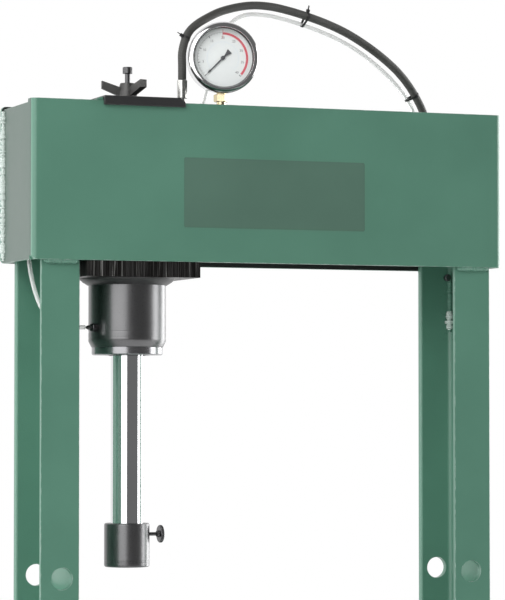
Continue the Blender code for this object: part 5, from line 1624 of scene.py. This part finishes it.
for index in range(22):
    z = GRIP_L - 0.012 - index * 0.0046
    ribs += [(GRIP_R, z), (GRIP_R, z - 0.0024), (GRIP_R - 0.0011, z - 0.0030), (GRIP_R - 0.0011, z - 0.0040)]
turned("lever_grip_ribbed", [
    (0, GRIP_L), (GRIP_R - 0.0045, GRIP_L), (GRIP_R - 0.0014, GRIP_L - 0.0012), (GRIP_R, GRIP_L - 0.0045),
    *ribs, (GRIP_R, 0.0085), (GRIP_R, 0.002), (GRIP_R - 0.002, 0), (0.0128, 0), (0.0128, GRIP_L - 0.0037),
    (0, GRIP_L - 0.0037)], SEAL, "lever", pivot + lever_way * (LEVER_END - GRIP_L), lever_way,
    ["lever_grip"], 0.0003, steps=96)

# %% [markdown]
# Turning the red knob lets the oil back into the tank. It has eight deep flutes for the fingers.

# %% Release knob
knob_low, knob_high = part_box("release_knob")
KNOB_R, knob_l = (knob_high.x - knob_low.x) / 2, knob_high.y - knob_low.y


def finger_flutes(shape):
    groove(shape, 8, 0.085, KNOB_R * 0.85, 0.012, power=2)


turned("release_knob_fluted", [
    (0, knob_l - 0.0008), (0.008, knob_l - 0.0008), (0.009, knob_l), (KNOB_R - 0.0045, knob_l),
    (KNOB_R - 0.0013, knob_l - 0.0014), (KNOB_R, knob_l - 0.0045), (KNOB_R, knob_l - 0.010), (KNOB_R, 0.0140),
    (KNOB_R - 0.002, 0.0120), (0.0078, 0.0118), (0.0072, 0.0105), (0.0072, 0), (0, 0)], RED,
    body_of("release_knob"), ((knob_low.x + knob_high.x) / 2, knob_high.y, (knob_low.z + knob_high.z) / 2),
    (0, -1, 0), ["release_knob"], 0.0, steps=160, change=finger_flutes)

# %% [markdown]
# ## The studio
# The press stands on a pale floor in front of a white background. The camera, clear plastic and shiny
# metal see that background as white, and towards the camera's side the metal sees a dimmer room. A broad
# soft lamp stands left of the camera and another behind at the right, so the turned steel shows one soft
# bright band at each side with dark between them.

# %% Floor
floor_shape = bmesh.new()
bmesh.ops.create_circle(floor_shape, cap_ends=True, segments=96, radius=3.2)
floor_mesh = bpy.data.meshes.new("studio_floor")
floor_shape.to_mesh(floor_mesh)
floor_shape.free()
floor = bpy.data.objects.new("studio_floor", floor_mesh)
bpy.context.scene.collection.objects.link(floor)
floor_paint = bpy.data.materials.new("pale_floor")
floor_paint.use_nodes = True
floor_paint.node_tree.nodes["Principled BSDF"].inputs["Base Color"].default_value = (0.84, 0.84, 0.84, 1.0)
floor_paint.node_tree.nodes["Principled BSDF"].inputs["Roughness"].default_value = 0.9
floor_mesh.materials.append(floor_paint)
print("floor", len(floor_mesh.vertices), "points")

# %% [markdown]
# A lamp's strength is given as brightness, so a larger lamp lights more without looking brighter in the
# metal. Each one aims at the upper half of the press.

# %% Lamps
def soft_lamp(name, bearing, height, away, size, radiance):
    """bearing is in degrees from the camera's side of the press, towards its right."""
    target = Vector((-0.1, 0.0, 1.35))
    turn = math.atan2(CAMERA_PLACE.y, CAMERA_PLACE.x) + math.radians(bearing)
    place = Vector((target.x + math.cos(turn) * away, target.y + math.sin(turn) * away, height))
    lamp = bpy.data.lights.new(name, "AREA")
    lamp.shape = "RECTANGLE"
    lamp.size, lamp.size_y = size
    lamp.energy = radiance * math.pi * size[0] * size[1]
    made = bpy.data.objects.new(name, lamp)
    made.location = place
    made.rotation_euler = (target - place).to_track_quat("-Z", "Y").to_euler()
    bpy.context.scene.collection.objects.link(made)
    return made


soft_lamp("key_lamp", -27, 1.7, 4.0, (4.2, 2.5), 2.0)
soft_lamp("rim_lamp", 118, 1.7, 3.4, (4.4, 3.0), 4.6)
soft_lamp("side_lamp", -80, 1.1, 4.4, (2.4, 2.2), 4.0)
soft_lamp("high_lamp", -22, 3.7, 3.5, (3.0, 1.8), 4.6)
print("four lamps")

# %% [markdown]
# The light path node tells which kind of ray asks for the background. Camera and transmission rays get
# white, glossy rays get white on the far side, and all other light comes from a dimmer room.

# %% World
world = bpy.data.worlds.new("white_studio")
bpy.context.scene.world = world
world.use_nodes = True
tree = world.node_tree
tree.nodes.clear()
direction = node(tree, "ShaderNodeTexCoord").outputs["Generated"]
behind = node(tree, "ShaderNodeVectorMath", {"operation": "DOT_PRODUCT"},
              {0: direction, 1: (-0.25, 0.97, 0.0)})
far_side = spread(tree, behind.outputs["Value"], -0.15, 0.30)
room = spread(tree, far_side, 0.0, 1.0, 0.16, 0.90)
path = node(tree, "ShaderNodeLightPath")
clear = maths(tree, "MAXIMUM", path.outputs["Is Camera Ray"], path.outputs["Is Transmission Ray"])
mirrored = maths(tree, "MULTIPLY", path.outputs["Is Glossy Ray"], far_side)
clear = maths(tree, "MAXIMUM", clear, mirrored)
strength = node(tree, "ShaderNodeMix", {"data_type": "FLOAT"}, {0: clear, 2: room, 3: 1.0}).outputs[0]
back = node(tree, "ShaderNodeBackground", {}, {"Color": (1, 1, 1, 1), "Strength": strength})
node(tree, "ShaderNodeOutputWorld", {}, {"Surface": back.outputs[0]})
bpy.context.scene.view_settings.view_transform = "Standard"
print("world:", world.name)
